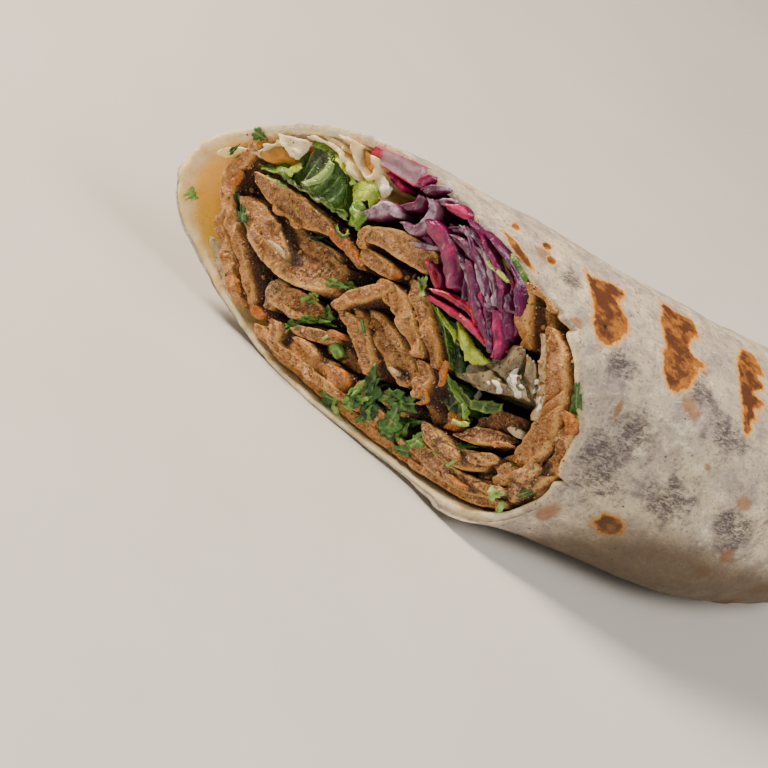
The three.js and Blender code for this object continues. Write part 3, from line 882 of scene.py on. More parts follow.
# The inner end of the sheet: it lies loose under the rim, folds into a pocket and ends in a flap.
def looseSheets():
    parts = []
    for k, layer in enumerate(bread["loose"]):
        if "rows" in layer:
            part = sheet(layer["rows"], layer["thick"], (26, 44), layer["ruffle"], 3.0, 0.2, 70 + k)
            part["values"]["back"] = 0 * part["values"]["a"]
        else:
            part = slab(layer["line"], layer["thick"], layer["out"], frontRough=layer.get("fray", 0.9),
                        seed=80 + k, deep=layer["deep"])
            near = np.exp(-part["values"]["back"] / 9)
            crumple = 0.3 * cloud(part["points"], 2.0, 71 + k) + 0.12 * noise(part["points"], 0.7, k)
            part = pushed(part, near * crumple)
        plain = {"lining": 1.0, "golden": 0.0,
                 **dict.fromkeys(("toast", "tint", "char", "hole"), bread["unmarked"])}
        for name, value in plain.items():
            part["values"][name] = np.full(len(part["points"]), layer.get(name, value))
        parts.append(part)
    return parts


def breadFinish():
    material, tree, shader, coords = newFinish("flatbread")
    toast, tint, char, under = (attributeIn(tree, k) for k in ("toast", "tint", "char", "under"))
    lining, back, hole, golden = (attributeIn(tree, k) for k in ("lining", "back", "hole", "golden"))
    broad = noiseIn(tree, coords, 14, 3)
    patches = noiseIn(tree, coords, 4.2, 5, 0.68)
    fine = noiseIn(tree, coords, 0.9, 5, 0.72)
    fibres = noiseIn(tree, coords, 1.3, 5, 0.75, 0.8, (0.4, 1.3, 1.0))
    threads = noiseIn(tree, coords, 0.55, 4, 0.7, 1.2, (0.35, 1.2, 1.0))
    base = blended(tree, between(tree, broad, 0.35, 0.65), "#b6a999", "#d1c2a4")
    base = coated(tree, base, "#978b86", patches, 0.44, 0.66, 0, 0.9)
    base = coated(tree, base, "#ece0c6", patches, 0.3, 0.44, 0.85, 0)
    base = coated(tree, base, "#7d7264", fine, 0.5, 0.68, 0, 0.8)
    base = coated(tree, base, "#efe4ce", fibres, 0.28, 0.46, 0.75, 0)
    base = coated(tree, base, "#6f6456", threads, 0.55, 0.7, 0, 0.35)
    smudge = maths(tree, "ADD", char, maths(tree, "MULTIPLY_ADD", patches, 3.4, -1.5))
    grit = noiseIn(tree, coords, 0.7, 5, 0.78, 0.9, (0.4, 1.2, 1.0))
    smudge = maths(tree, "MULTIPLY", between(tree, smudge, -0.2, 0.9),
                   between(tree, grit, 0.36, 0.58, 0.05, 1.0))
    base = blended(tree, maths(tree, "MULTIPLY", smudge, 0.9), base, "#423b40")
    rough = maths(tree, "MULTIPLY_ADD", noiseIn(tree, coords, 2.0, 5, 0.68), 1.5, -0.75)
    light = maths(tree, "ADD", tint, rough)
    base = coated(tree, base, "#8d5820", light, -0.25, 0.5, 0, 0.7)
    spot = maths(tree, "ADD", toast, maths(tree, "MULTIPLY", rough, 0.8))
    base = coated(tree, base, "#d89a3c", spot, -0.42, -0.02, 0, 0.9)
    base = coated(tree, base, "#98560f", spot, -0.1, 0.12, 0, 0.95)
    scorch = maths(tree, "MULTIPLY_ADD", noiseIn(tree, coords, 3.4, 3), 3.4, -1.35)
    core = maths(tree, "MULTIPLY", between(tree, maths(tree, "ADD", spot, scorch), 0.2, 0.75),
                 between(tree, spot, -0.02, 0.22))
    base = blended(tree, maths(tree, "MULTIPLY", core, 0.92), base, "#4a240c")
    base = blended(tree, maths(tree, "MULTIPLY", between(tree, spot, 0.0, 0.3),
                               between(tree, patches, 0.36, 0.52, 0.6, 0)), base, "#c07a28")
    # Painted shade: the small hole is painted near black over a shallow dent.
    base = coated(tree, base, "#1a100a", hole, 0.1, 0.5)
    crumb = blended(tree, between(tree, patches, 0.4, 0.66), "#ece0bd", "#d8bf85")
    crumb = coated(tree, crumb, "#b08a50", fine, 0.5, 0.75, 0, 0.5)
    crumb = coated(tree, crumb, "#eab458", back, 2.0, 9.0, 0, 0.6)
    # Painted light: where golden is high the crumb is painted bright golden for light shining through the
    # thin wall; the same mask raises the subsurface weight.
    paintedGlow = maths(tree, "MULTIPLY", golden, between(tree, patches, 0.2, 0.55, 0.65, 1.0))
    paintedGlow = maths(tree, "MULTIPLY", paintedGlow, between(tree, back, 0.0, 1.6, 0.35, 1.0), clamp=True)
    crumb = blended(tree, paintedGlow, crumb, "#ffc45e")
    # Golden above 1 turns the crumb deeper orange: partly the toasted layers' own colour, partly painted
    # light shining through them.
    crumb = coated(tree, crumb, "#d08a30", golden, 1.0, 1.8, 0, 0.9)
    base = blended(tree, between(tree, lining, 0.05, 0.45), base, crumb)
    # Painted shade on the lower near side of the roll.
    base = coated(tree, base, "#54432f", under, 0, 0.5, 0, 0.88)
    cells = cellsIn(tree, coords, 3.1)
    speck = maths(tree, "MULTIPLY", between(tree, cells, 0.07, 0.1, 1, 0),
                  between(tree, cells.node.outputs["Color"], 0.5, 0.55))
    base = blended(tree, maths(tree, "MULTIPLY", speck, 0.8), base, "#3a1a12")
    tree.links.new(base, shader.inputs["Base Color"])
    setNode(shader, Roughness=0.68, Subsurface_Scale=0.006, Specular_IOR_Level=0.35)
    tree.links.new(maths(tree, "MULTIPLY_ADD", paintedGlow, 0.7, 0.08, clamp=True),
                   shader.inputs["Subsurface Weight"])
    shader.inputs["Subsurface Radius"].default_value = (1.0, 0.6, 0.25)
    relief = maths(tree, "MULTIPLY_ADD", fine, 0.6, maths(tree, "MULTIPLY", patches, 0.8))
    relief = maths(tree, "ADD", relief, maths(tree, "MULTIPLY", noiseIn(tree, coords, 0.4, 3, 0.7), 0.35))
    relief = maths(tree, "ADD", relief, maths(tree, "MULTIPLY", fibres, 0.4))
    bumped(tree, shader, relief, 0.7, 0.8)
    return material


finishes = {"flatbread": breadFinish()}
addPiece("flatbread_wrap", flatbreadPart(), finishes["flatbread"], "flatbread", "flatbread")
print("flatbread is wrapped")


# Meat: the slices of the solids, torn at the cut. `out` is how far a slice stands out of the cut, `tilt`
# leans its face back at the top, and `extra` adds thinner layers that ride on the slice. `deep` is how far
# a layer runs back, a sunk shade value paints painted shade on it as if it lay deeper, `open` lessens that
# painted depth shade, and the other values go to the finish.
meatSlices = [
    {"name": "upper_slab",
     "line": [(-37.2, 31.4), (-33, 31), (-27, 31.3), (-20.8, 32.8), (-15, 32.2), (-9.4, 30.8)],
     "thick": [2.2, 5.0, 6.4, 6.2, 4.2, 2.4, 2.0, 1.4], "out": 1.6, "tilt": -0.5, "extra": [
        {"line": [(-31.2, 28.9), (-30, 27.9), (-28.8, 28.9)], "thick": [0.5, 1.1, 0.5], "out": 1.8,
         "gold": 0.9, "deep": 0.9},
        {"line": [(-27.2, 29), (-26, 27.9), (-25, 29.2)], "thick": [0.5, 1.2, 0.5], "out": 1.8, "gold": 1.0,
         "deep": 0.9},
        {"line": [(-19.4, 33), (-15, 32.3), (-10.2, 31.2)], "thick": [1.4, 2.6, 2.2, 1.2], "out": 2.3,
         "brown": 1.0}]},
    {"name": "broad_slab", "line": [(-36.6, 26.6), (-30, 24.6), (-23.6, 23.4), (-16.8, 23.6), (-11.2, 25.4)],
     "thick": [1.6, 5, 8.4, 10.6, 11, 9.4, 6], "out": 0.2, "tilt": 1.6, "grooves": [(0.3, 0.2, 0.8, 0.7)],
     "extra": [
        {"line": [(-34.6, 26.6), (-30.6, 24.9), (-26.6, 22.7), (-22.6, 20.8)], "thick": [0.9, 1.9, 2.4, 1.4],
         "out": 2.6, "brown": 0.2, "tilt": 0.5, "gold": 0.4},
        {"line": [(-35, 22.8), (-31, 20.9), (-26.4, 19.4), (-21.6, 18.8), (-18, 18.9)],
         "thick": [1.0, 1.9, 2.4, 2.2, 1.2], "out": 1.7, "fat": 0.15},
        {"line": [(-27.8, 21.7), (-25.4, 21.5), (-23.2, 20.7)], "thick": [0.5, 1.1, 0.5], "out": 3.2,
         "fat": 0.9},
        {"line": [(-19.6, 28.8), (-15.6, 28.8), (-12.6, 27.6)], "thick": [1.4, 2.6, 1.6], "out": -0.8}]},
    {"name": "far_wall_slice", "line": [(-39.2, 34.4), (-39, 29), (-36, 22.8), (-30, 16.6), (-24.4, 10)],
     "thick": [3.6, 4.4, 4.8, 5.0, 4.6, 3.0], "out": -2.4, "tilt": 2.0, "brown": 0.25, "gold": 0.9,
     "open": 0.6, "sunk": 0.4, "tone": -1, "extra": [
        {"line": [(-41.2, 36.8), (-42.4, 31.4), (-43, 27.4), (-41.5, 23.8), (-38, 20.3), (-33.6, 16.7),
                  (-29.6, 13), (-25.8, 9.6), (-23.2, 7.2)],
         "thick": [1.0, 1.9, 2.8, 2.9, 2.3, 2.0, 1.9, 1.8, 1.2], "out": 0.9, "deep": 26, "gold": 0.7,
         "open": 0.35, "tone": 1},
        {"line": [(-39.4, 34), (-38.4, 29.6), (-37.4, 26)], "thick": [2.4, 3.6, 2.2], "out": -3.0,
         "brown": 0.5, "deep": 26, "sunk": 4, "open": 0.2},
        {"line": [(-41.8, 29.6), (-41.2, 27.6), (-40.4, 26)], "thick": [0.6, 1.2, 0.6], "out": 1.2,
         "brown": 1.0, "deep": 0.8},
        {"line": [(-23.8, 7.4), (-21.8, 6.4), (-20.2, 6.6)], "thick": [1.4, 2.4, 1.6], "out": 1.0,
         "brown": 1.1}]},
    {"name": "far_low_slice",
     "line": [(-40.8, 19.6), (-38.8, 16.4), (-35, 13.2), (-31, 9.9), (-27, 6.7), (-25, 5.4)],
     "thick": [1.2, 2.0, 2.1, 2.0, 2.1, 1.6], "out": 0.3, "brown": 0.15, "gold": 0.5, "open": 0.3,
     "tone": 0.6, "extra": [
        {"line": [(-38.6, 18.4), (-35.6, 15.4), (-31.6, 12), (-27.4, 8.6)], "thick": [1.6, 2.4, 2.4, 1.8],
         "out": -1.6, "sunk": 3.4, "open": 0, "gold": 0.4, "deep": 12},
        {"line": [(-38.4, 13.6), (-35.2, 10.2), (-31.8, 7.6), (-28.6, 5.8)], "thick": [1.2, 2.2, 2.2, 1.4],
         "out": -0.4, "fat": 1.0},
        {"line": [(-29.8, 9.6), (-28.4, 8.2), (-27.2, 7.4)], "thick": [0.8, 1.6, 0.8], "out": 1.2,
         "brown": 0.9, "deep": 1}]},
    {"name": "pale_chunk", "line": [(-20.2, 13.6), (-15.4, 14.8), (-10.6, 16.4)], "thick": [4.6, 6.0, 5.4, 3],
     "out": 0.2, "tilt": 0.8, "extra": [
        {"line": [(-21.2, 16.6), (-21.2, 12.8), (-20.4, 8.8)], "thick": [1.8, 3.0, 2.8, 1.6], "out": 0.9,
         "fat": 0.35},
        {"line": [(-18.4, 11.8), (-15.6, 12), (-12.8, 13.6)], "thick": [1.4, 2.0, 1.2], "out": 1.2,
         "tone": 1}]},
    {"name": "arched_slice", "line": [(-4.8, 31.2), (-1, 31), (3.6, 28.7), (7.6, 26.2), (10.9, 24.1)],
     "thick": [2.6, 4.8, 3.7, 3.0, 2.0], "out": 1.8, "gold": 0.5, "open": 0.4, "tone": 1.6, "extra": [
        {"line": [(-9.3, 19.4), (-8.3, 22.8), (-6, 26.6), (-3.8, 30.2), (-1.8, 33)],
         "thick": [1.8, 2.6, 2.8, 2.6, 1.6], "out": 2.5, "deep": 101, "gold": 0.7, "open": 0.5},
        {"line": [(-6.4, 24.4), (-3.6, 28), (-0.4, 29.4)], "thick": [1.0, 1.8, 1.2], "out": 0.4,
         "brown": 0.3}]},
    {"name": "long_slice", "line": [(-0.4, 36.2), (4.4, 33.6), (8.8, 30.1), (12.3, 27), (14.9, 24.6)],
     "thick": [2.0, 3.3, 3.0, 2.7, 2.0], "out": 1.2, "tone": 0.3, "extra": [
        {"line": [(7.6, 32.8), (11.4, 29.3), (15.2, 25.2)], "thick": [0.4, 0.8, 0.8, 0.4], "out": 1.9,
         "gold": 1.0, "deep": 3}]},
    {"name": "ragged_slice", "line": [(-2.6, 25.2), (3, 23), (8, 20.6), (13, 18.2)],
     "thick": [1.6, 5.0, 6.4, 6.4, 5.2], "out": 0.0, "grooves": [(0.05, 0.1, 0.95, 0.7)], "extra": [
        {"line": [(-1.6, 25.4), (3, 24.8), (8, 22.6)], "thick": [1.0, 1.8, 1.4], "out": 1.0, "tone": 1},
        {"line": [(11.5, 23.9), (14.4, 20.6), (16, 16.6)], "thick": [2.2, 3.0, 2.8, 2.0], "out": 1.6,
         "gold": 0.3},
        {"line": [(7.2, 17.8), (8.2, 17.4), (9.3, 17.8)], "thick": [0.9, 1.5, 0.9], "out": 1.8, "fat": 1.2,
         "deep": 1},
        {"line": [(16, 27.8), (16.9, 25.2), (17.4, 21.8)], "thick": [0.5, 1.1, 0.5], "out": 2.0,
         "brown": 0.95, "deep": 0.5},
        {"line": [(16.4, 19.8), (17.2, 17.6), (16.8, 15.6)], "thick": [0.5, 1.0, 0.5], "out": 2.0,
         "brown": 0.7, "deep": 0.6}]},
    {"name": "low_middle_slice", "line": [(-6.8, 20.4), (-3, 19.8), (1, 16.6), (5.4, 13.2)],
     "thick": [1.8, 3.4, 3.6, 3.4, 2.2], "out": 1.4, "gold": 0.3, "open": 0.4, "extra": [
        {"line": [(-5.6, 23.4), (-2.8, 22.4), (0, 20.6)], "thick": [0.9, 1.5, 0.9], "out": 0.4,
         "gold": 0.8}]},
    {"name": "folded_slice", "line": [(1, 41.6), (-4, 41.1), (-8.8, 39.7), (-12, 37.2)],
     "thick": [5.4, 6.0, 5.8, 4.4, 2.6], "out": 2.0, "gold": 0.2, "open": 0.4, "extra": [
        {"line": [(-11, 34.1), (-7, 34.3), (-3, 34.8)], "thick": [2.6, 3.6, 3.6, 3.0], "out": 1.5,
         "deep": 101},
        {"line": [(-12.4, 39.6), (-13, 37), (-12, 34)], "thick": [0.9, 1.7, 1.2], "out": 2.6, "gold": 0.9},
        {"line": [(-5.2, 35.4), (-3.8, 34.9), (-2.9, 34.2)], "thick": [1.0, 1.8, 1.2], "out": 2.0,
         "brown": 0.9, "deep": 0.9}]},
    {"name": "curled_slice",
     "line": [(25.6, 51.2), (22, 52.6), (19.2, 52), (20.6, 49), (23, 45.4), (26.4, 41.4)], "deep": 30,
     "thick": [1.4, 1.8, 2.0, 2.0, 2.0, 1.8], "out": 0.8, "brown": -0.2, "gold": 0.9, "open": 0.9, "tone": 2,
     "extra": [
        {"line": [(23.6, 51), (26, 48.4), (28, 44.6)], "thick": [2.6, 4.0, 3.2], "out": -1.8, "brown": -0.1,
         "deep": 30, "gold": 1.0, "open": 0.8, "tone": 1}]},
    {"name": "near_wall_slice",
     "line": [(27.2, 48.6), (31.6, 44.6), (35.8, 38.4), (38.6, 32), (40, 26), (39.4, 20.6), (36.4, 16.4)],
     "thick": [1.4, 4.6, 5.6, 5.2, 4.8, 4.6, 4.2, 2.4], "out": 0.9, "brown": 0.0, "gold": 0.8, "open": 0.9,
     "tone": -1.6, "extra": [
        {"line": [(33.4, 45), (36.2, 41), (38.6, 36.4)], "thick": [1.2, 2.4, 1.6], "out": 0.4, "brown": 0.55,
         "deep": 30, "open": 0.5, "tone": -1},
        {"line": [(27, 46.4), (31.2, 41), (34.8, 35.4), (37, 30.4)], "thick": [0.6, 1.1, 1.1, 0.7],
         "out": 1.6, "fat": 0.55, "deep": 2.4}]},
    {"name": "near_rim_slice",
     "line": [(41.4, 37.2), (43.8, 32.4), (45.2, 27), (45.0, 21.6), (43, 16.2), (38.6, 12), (32.6, 9.4)],
     "thick": [1.6, 2.6, 3.0, 3.4, 3.2, 3.0, 2.6, 1.6], "out": 0.2, "gold": 0.4, "open": 0.6, "extra": [
        {"line": [(40.6, 37), (42, 35.4), (43.2, 33)], "thick": [1.2, 2.4, 1.4], "out": 1.1, "brown": 1.5,
         "deep": 2}]},
    {"name": "near_low_slice", "line": [(19.6, 12.6), (24, 12.2), (29, 12), (33, 14.6), (35.8, 17.8)],
     "thick": [2.6, 4.4, 4.4, 4.6, 4.4, 2.4], "out": 0.9, "extra": [
        {"line": [(16.6, 19.4), (21, 16.8), (27, 14.8)], "thick": [2.6, 4.0, 3.0], "out": -2.2, "sunk": 1.6,
         "deep": 30},
        {"line": [(23.6, 19.8), (24.6, 17.6), (24.2, 15.4)], "thick": [0.8, 1.6, 0.8], "out": -0.6,
         "brown": 0.9, "deep": 2},
        {"line": [(24.8, 11.6), (27.4, 11.8), (29.8, 12)], "thick": [1.6, 2.8, 1.6], "out": 2.2, "tone": 1},
        {"line": [(31, 13.6), (33.4, 15.8), (35.4, 18)], "thick": [1.8, 3.0, 1.8], "out": 2.0},
        {"line": [(19.4, 13.2), (22, 12), (24.2, 11.4)], "thick": [1.6, 2.8, 1.6], "out": 1.9}]},
    {"name": "near_under_slice", "line": [(20, 7.8), (27, 7.6), (34, 8.6), (40.4, 12.2)],
     "thick": [2.8, 4.2, 4.2, 4.0, 3.2], "out": 0.9, "extra": [
        {"line": [(17, 6), (24, 5.2), (31, 5.4), (37.6, 7.2), (43.4, 11.4)],
         "thick": [1.4, 2.0, 2.2, 2.2, 2.2, 1.6], "out": 0.4, "brown": 0.3, "deep": 60},
        {"line": [(29.6, 7.4), (32.4, 7.4), (35, 8.2)], "thick": [0.9, 1.6, 0.9], "out": 2.2, "brown": 0.9,
         "deep": 2.4},
        {"line": [(35.6, 10.2), (38.6, 11.4), (41, 13.6)], "thick": [1.6, 2.6, 1.6], "out": 2.0, "tone": 1}]},
    {"name": "near_corner_slice", "line": [(42.4, 12.4), (43.2, 16.4), (42.4, 21.8)],
     "thick": [2.4, 3.0, 2.8, 1.8], "out": 0.8, "extra": [
        {"line": [(36, 9), (41, 11.4), (44.6, 15.4), (45.8, 20), (46, 24.6)],
         "thick": [2.4, 3.2, 3.6, 3.4, 2.2], "out": -0.6, "brown": 0.3, "deep": 60, "gold": 0.3},
        {"line": [(36, 12.6), (38.6, 15), (40.6, 18.6)], "thick": [3, 4, 3], "out": -1.2, "tone": -1,
         "deep": 20},
        {"line": [(38.4, 12.8), (39.2, 16.4), (39, 19.8)], "thick": [2.0, 3.2, 2.0], "out": 1.4, "tone": 1},
        {"line": [(41.4, 17), (42.4, 20.4), (42.2, 23.2)], "thick": [1.6, 2.4, 1.4], "out": 1.9,
         "fat": 0.25}]},
    {"name": "leaning_slab", "line": [(26.8, 16.4), (31, 20), (36.6, 23.6)], "thick": [1.0, 4.4, 4.0, 1.6],
     "out": 0.6, "tilt": 0.8, "extra": [
        {"line": [(27.4, 16.2), (31.6, 19), (36.6, 22.9)], "thick": [0.7, 1.2, 0.7], "out": 1.8, "brown": 0.5,
         "deep": 3},
        {"line": [(34.4, 25.3), (35.8, 25.9), (37, 25.2)], "thick": [1.0, 1.9, 1.2], "out": 1.0,
         "fat": 1.0}]},
    {"name": "shaded_slab", "line": [(28.4, 20.8), (32.4, 24.4), (36.4, 28)], "thick": [2, 5.6, 6.4, 4],
     "out": -1.4, "sunk": 1.2, "tone": -0.4},
    # The bottom chunk's high tone is painted light: it is painted paler as if light falls on it.
    {"name": "bottom_chunk", "line": [(-17.4, 5.8), (-9, 5.9), (-1, 7.2), (3.4, 7.6)],
     "thick": [3.4, 5, 5.4, 5.8, 3.8], "out": 1.2, "tilt": 0.6, "tone": 3.5, "gold": 0.45, "extra": [
        {"line": [(-20, 3.8), (-12, 2.8), (-2, 2.6), (8, 2.9), (18, 3.5), (27, 4.4)],
         "thick": [1.4, 2.2, 2.2, 2.4, 2.2, 1.6], "out": 0.4, "brown": 0.35, "tone": 1, "deep": 60},
        {"line": [(-19.6, 4.6), (-13, 3.9), (-6, 4), (1, 4.8), (7.6, 5.2)],
         "thick": [1.6, 2.4, 2.4, 2.4, 1.6], "out": 2.0, "brown": 0.25, "tone": 1.5},
        {"line": [(-17.4, 8.4), (-15.6, 6), (-14.8, 3.8)], "thick": [1.2, 2.4, 1.2], "out": 2.6, "gold": 0.5},
        {"line": [(-2.4, 8.8), (0.4, 8.6), (2.6, 7.6)], "thick": [1.2, 2.6, 1.4], "out": 2.6, "brown": 0.8,
         "deep": 3},
        {"line": [(-12.6, 7.8), (-9, 8.6), (-5.6, 8)], "thick": [1.0, 2.0, 1.2], "out": 2.2, "tone": 2},
        {"line": [(-6.6, 4.4), (-4.4, 3.2), (-2.6, 3.4)], "thick": [0.6, 1.0, 0.6], "out": 2.0, "fat": 0.35,
         "deep": 1}]},
    {"name": "thin_bottom_slice", "line": [(-13, 9.8), (-8.6, 12), (-4.4, 15)], "thick": [2.2, 3.0, 2.2],
     "out": 1.2, "extra": [
        {"line": [(-10, 12.6), (-4, 13.6), (2.6, 11.2)], "thick": [2.6, 4.6, 3.4], "out": -1.2, "sunk": 0.8,
         "deep": 30},
        {"line": [(-6.4, 14.6), (-5, 15.6), (-3.6, 15.8)], "thick": [0.9, 1.6, 0.9], "out": 1.8,
         "brown": 0.95,
                "deep": 2.4}]},
    {"name": "herb_bed_low", "line": [(7.9, 6.8), (13, 6.3), (16.6, 6.5)], "thick": [4, 4.4, 3.6],
     "out": 0.4},
    {"name": "herb_bed_high", "line": [(9.6, 12.6), (12.5, 12), (15, 12.3)], "thick": [3.6, 4, 3.6],
     "out": -0.2,
     "extra": [{"line": [(4.2, 10.8), (5, 9), (5.2, 7)], "thick": [0.9, 1.7, 0.9], "out": 1.8, "brown": 0.9,
                "deep": 2}]},
]
meatCut = {"rough": 0.55, "endRound": 0.8, "deep": 101, "layerDeep": 5, "toneSwing": 0.7}
# Lumps, nicks out of the edges, grains and fibres along a slice, in metres; the fade in millimetres.
meatTear = {
    "Lump size": 0.0030, "Lump height": 0.00034, "Nick size": 0.0013, "Nick depth": 0.00014,
    "Grain size": 0.0007, "Grain height": 0.0001, "Fibre height": 0.00034, "Fade depth": 16.0,
}


def meatFinish():
    material, tree, shader, coords = newFinish("doner meat")
    back, brown, relief = (attributeIn(tree, k) for k in ("back", "brown", "relief"))
    fat, side, tone = (attributeIn(tree, k) for k in ("fat", "side", "tone"))
    gold, shadeLifted, shade = (attributeIn(tree, k) for k in ("gold", "open", "shade"))
    along, across = (attributeIn(tree, k) for k in ("along", "across"))
    strand = tree.nodes.new("ShaderNodeCombineXYZ")
    for axis, value, reach in (("X", along, 1.0), ("Y", across, 0.35), ("Z", back, 0.3)):
        tree.links.new(maths(tree, "MULTIPLY", value, reach * mm), strand.inputs[axis])
    broad = noiseIn(tree, coords, 5, 2)
    mottle = noiseIn(tree, coords, 1.8, 4, 0.6)
    grains = noiseIn(tree, coords, 0.8, 4, 0.62)
    fine = noiseIn(tree, coords, 0.34, 3, 0.62)
    strands = noiseIn(tree, strand.outputs["Vector"], 0.5, 4, 0.6, 0.6)
    plain = maths(tree, "MULTIPLY_ADD", gold, -0.6, 1.0, clamp=True)
    hue = maths(tree, "ADD", broad, maths(tree, "MULTIPLY", tone, 0.14))
    base = blended(tree, between(tree, hue, 0.32, 0.68), "#7c4c2e", "#cb8c48")
    base = coated(tree, base, "#66381a", mottle, 0.5, 0.64, 0, 0.7)
    base = coated(tree, base, "#dea862", mottle, 0.3, 0.46, 0.6, 0)
    base = blended(tree, maths(tree, "MULTIPLY", gold, between(tree, broad, 0.3, 0.7, 0.95, 0.6), clamp=True),
                   base, "#d58a38")
    base = blended(tree, maths(tree, "MULTIPLY", between(tree, strands, 0.53, 0.64, 0, 0.75), plain), base,
                   "#e9b97a")
    base = blended(tree, maths(tree, "MULTIPLY", between(tree, strands, 0.34, 0.46, 0.6, 0), plain), base,
                   "#5a331c")
    base = blended(tree, maths(tree, "MULTIPLY", between(tree, grains, 0.34, 0.44, 0.4, 0), plain), base,
                   "#4a2814")
    # Painted light and shade: raised parts of the torn surface are painted lighter and its hollows darker.
    base = coated(tree, base, "#e0b47c", relief, 0.3, 1.2, 0, 0.5)
    base = coated(tree, base, "#3c1e0e", relief, -1.2, -0.3, 0.35, 0)
    # Pale golden fringe on the front edges: partly the fringe's own colour, partly a painted highlight on the
    # lit rims.
    edge = maths(tree, "MULTIPLY", between(tree, maths(tree, "ABSOLUTE", side), 0.6, 0.92),
                 between(tree, back, 0.15, 1.2, 1, 0))
    base = blended(tree, maths(tree, "MULTIPLY", edge, between(tree, grains, 0.34, 0.54, 0.3, 1.0)), base,
                   "#eeb662")
    crust = maths(tree, "ADD", brown, maths(tree, "MULTIPLY_ADD", grains, 3.0, -1.5))
    base = coated(tree, base, "#d87608", crust, 0.45, 1.0, 0, 0.9)
    base = coated(tree, base, "#80380a", crust, 1.2, 1.7, 0, 0.5)
    pale = maths(tree, "ADD", fat, maths(tree, "MULTIPLY_ADD", grains, 2.0, -1.0))
    base = coated(tree, base, "#dcc59a", pale, 0.25, 0.85, 0, 0.85)
    # Painted highlight: small pale flecks stand in for wet glints.
    base = blended(tree, maths(tree, "MULTIPLY", between(tree, fine, 0.59, 0.68, 0, 0.8), plain), base,
                   "#fbdca6")
    # Painted shade: a layer turns near black further back behind the cut, less where it is open to light.
    deep = maths(tree, "MULTIPLY", between(tree, back, 0.5, 4.5, 0, 0.88),
                 maths(tree, "MULTIPLY_ADD", shadeLifted, -0.75, 1.0))
    base = blended(tree, deep, base, "#280f05")
    base = coated(tree, base, "#32140a", shade, 0.08, 0.95, 0, 0.88)
    tree.links.new(base, shader.inputs["Base Color"])
    tree.links.new(between(tree, grains, 0.34, 0.6, 0.46, 0.16), shader.inputs["Roughness"])
    setNode(shader, Subsurface_Weight=0.05, Subsurface_Scale=0.001, Specular_IOR_Level=0.75)
    shader.inputs["Subsurface Radius"].default_value = (1.0, 0.45, 0.25)
    height = maths(tree, "ADD", maths(tree, "MULTIPLY", grains, 0.8), maths(tree, "MULTIPLY", strands, 0.7))
    height = maths(tree, "MULTIPLY_ADD", fine, 0.5, height)
    bumped(tree, shader, height, 1.0, 1.0)
    return material


# Tears a slice: every layer of noise lifts or sinks the skin, and all of them fade with depth behind the cut.
def tornMeatTree():
    tree, given, out = newTree("torn meat", {
        **{name: ("Float", value) for name, value in meatTear.items()}, "Shift": ("Float", 0.0),
        "Finish": ("Material", None)})

    def sums(operation, a, b, c=0.0):
        return wired(tree, "ShaderNodeMath", {"Value": a, "Value_001": b, "Value_002": c},
                     operation=operation).outputs[0]

    def named(name):
        return wired(tree, "GeometryNodeInputNamedAttribute", {"Name": name}, data_type="FLOAT").outputs[0]

    def noiseAt(place, size, detail=2.0):
        scale = sums("DIVIDE", 1.0, size)
        return wired(tree, "ShaderNodeTexNoise",
                     {"Vector": place, "Scale": scale, "Detail": detail}).outputs[0]

    place = wired(tree, "GeometryNodeInputPosition", {}).outputs[0]
    moved = wired(tree, "ShaderNodeVectorMath", {"Vector": place, "Vector_001": given["Shift"]},
                  operation="ADD").outputs[0]
    along, side, back = (named(k) for k in ("along", "across", "back"))
    strandX = sums("MULTIPLY_ADD", along, 0.22, given["Shift"])
    strandZ = sums("MULTIPLY", back, 0.22)
    strand = wired(tree, "ShaderNodeCombineXYZ", {"X": strandX, "Y": side, "Z": strandZ}).outputs[0]
    lumps = sums("MULTIPLY", sums("SUBTRACT", noiseAt(moved, given["Lump size"]), 0.5), given["Lump height"])
    nick = wired(tree, "ShaderNodeMapRange",
                 {"Value": noiseAt(moved, given["Nick size"]), "From Min": 0.52, "From Max": 0.66},
                 interpolation_type="SMOOTHSTEP").outputs[0]
    nicks = sums("MULTIPLY", nick, given["Nick depth"])
    cells = wired(tree, "ShaderNodeTexVoronoi",
                  {"Vector": moved, "Scale": sums("DIVIDE", 1.0, given["Grain size"])},
                  feature="SMOOTH_F1").outputs[0]
    grains = sums("MULTIPLY", sums("SUBTRACT", 0.42, cells), given["Grain height"])
    fibres = sums("MULTIPLY", sums("SUBTRACT", noiseAt(strand, 0.7), 0.5), given["Fibre height"])
    lift = sums("SUBTRACT", sums("ADD", sums("ADD", lumps, grains), fibres), nicks)
    fade = wired(tree, "ShaderNodeMapRange",
                 {"Value": back, "From Max": given["Fade depth"], "To Min": 1.0, "To Max": 0.0}).outputs[0]
    lift = sums("MULTIPLY", lift, fade)
    normal = wired(tree, "GeometryNodeInputNormal", {}).outputs[0]
    offset = wired(tree, "ShaderNodeVectorMath", {"Vector": normal, "Scale": lift},
                   operation="SCALE").outputs[0]
    stored = wired(tree, "GeometryNodeStoreNamedAttribute", {
        "Geometry": given["Geometry"], "Name": "relief", "Value": sums("MULTIPLY", lift, 4000.0)},
        data_type="FLOAT", domain="POINT").outputs[0]
    torn = wired(tree, "GeometryNodeSetPosition", {"Geometry": stored, "Offset": offset}).outputs[0]
    real = wired(tree, "GeometryNodeRealizeInstances", {"Geometry": torn}).outputs[0]
    done = wired(tree, "GeometryNodeSetMaterial", {"Geometry": real, "Material": given["Finish"]}).outputs[0]
    tree.links.new(done, out["Geometry"])
    return tree


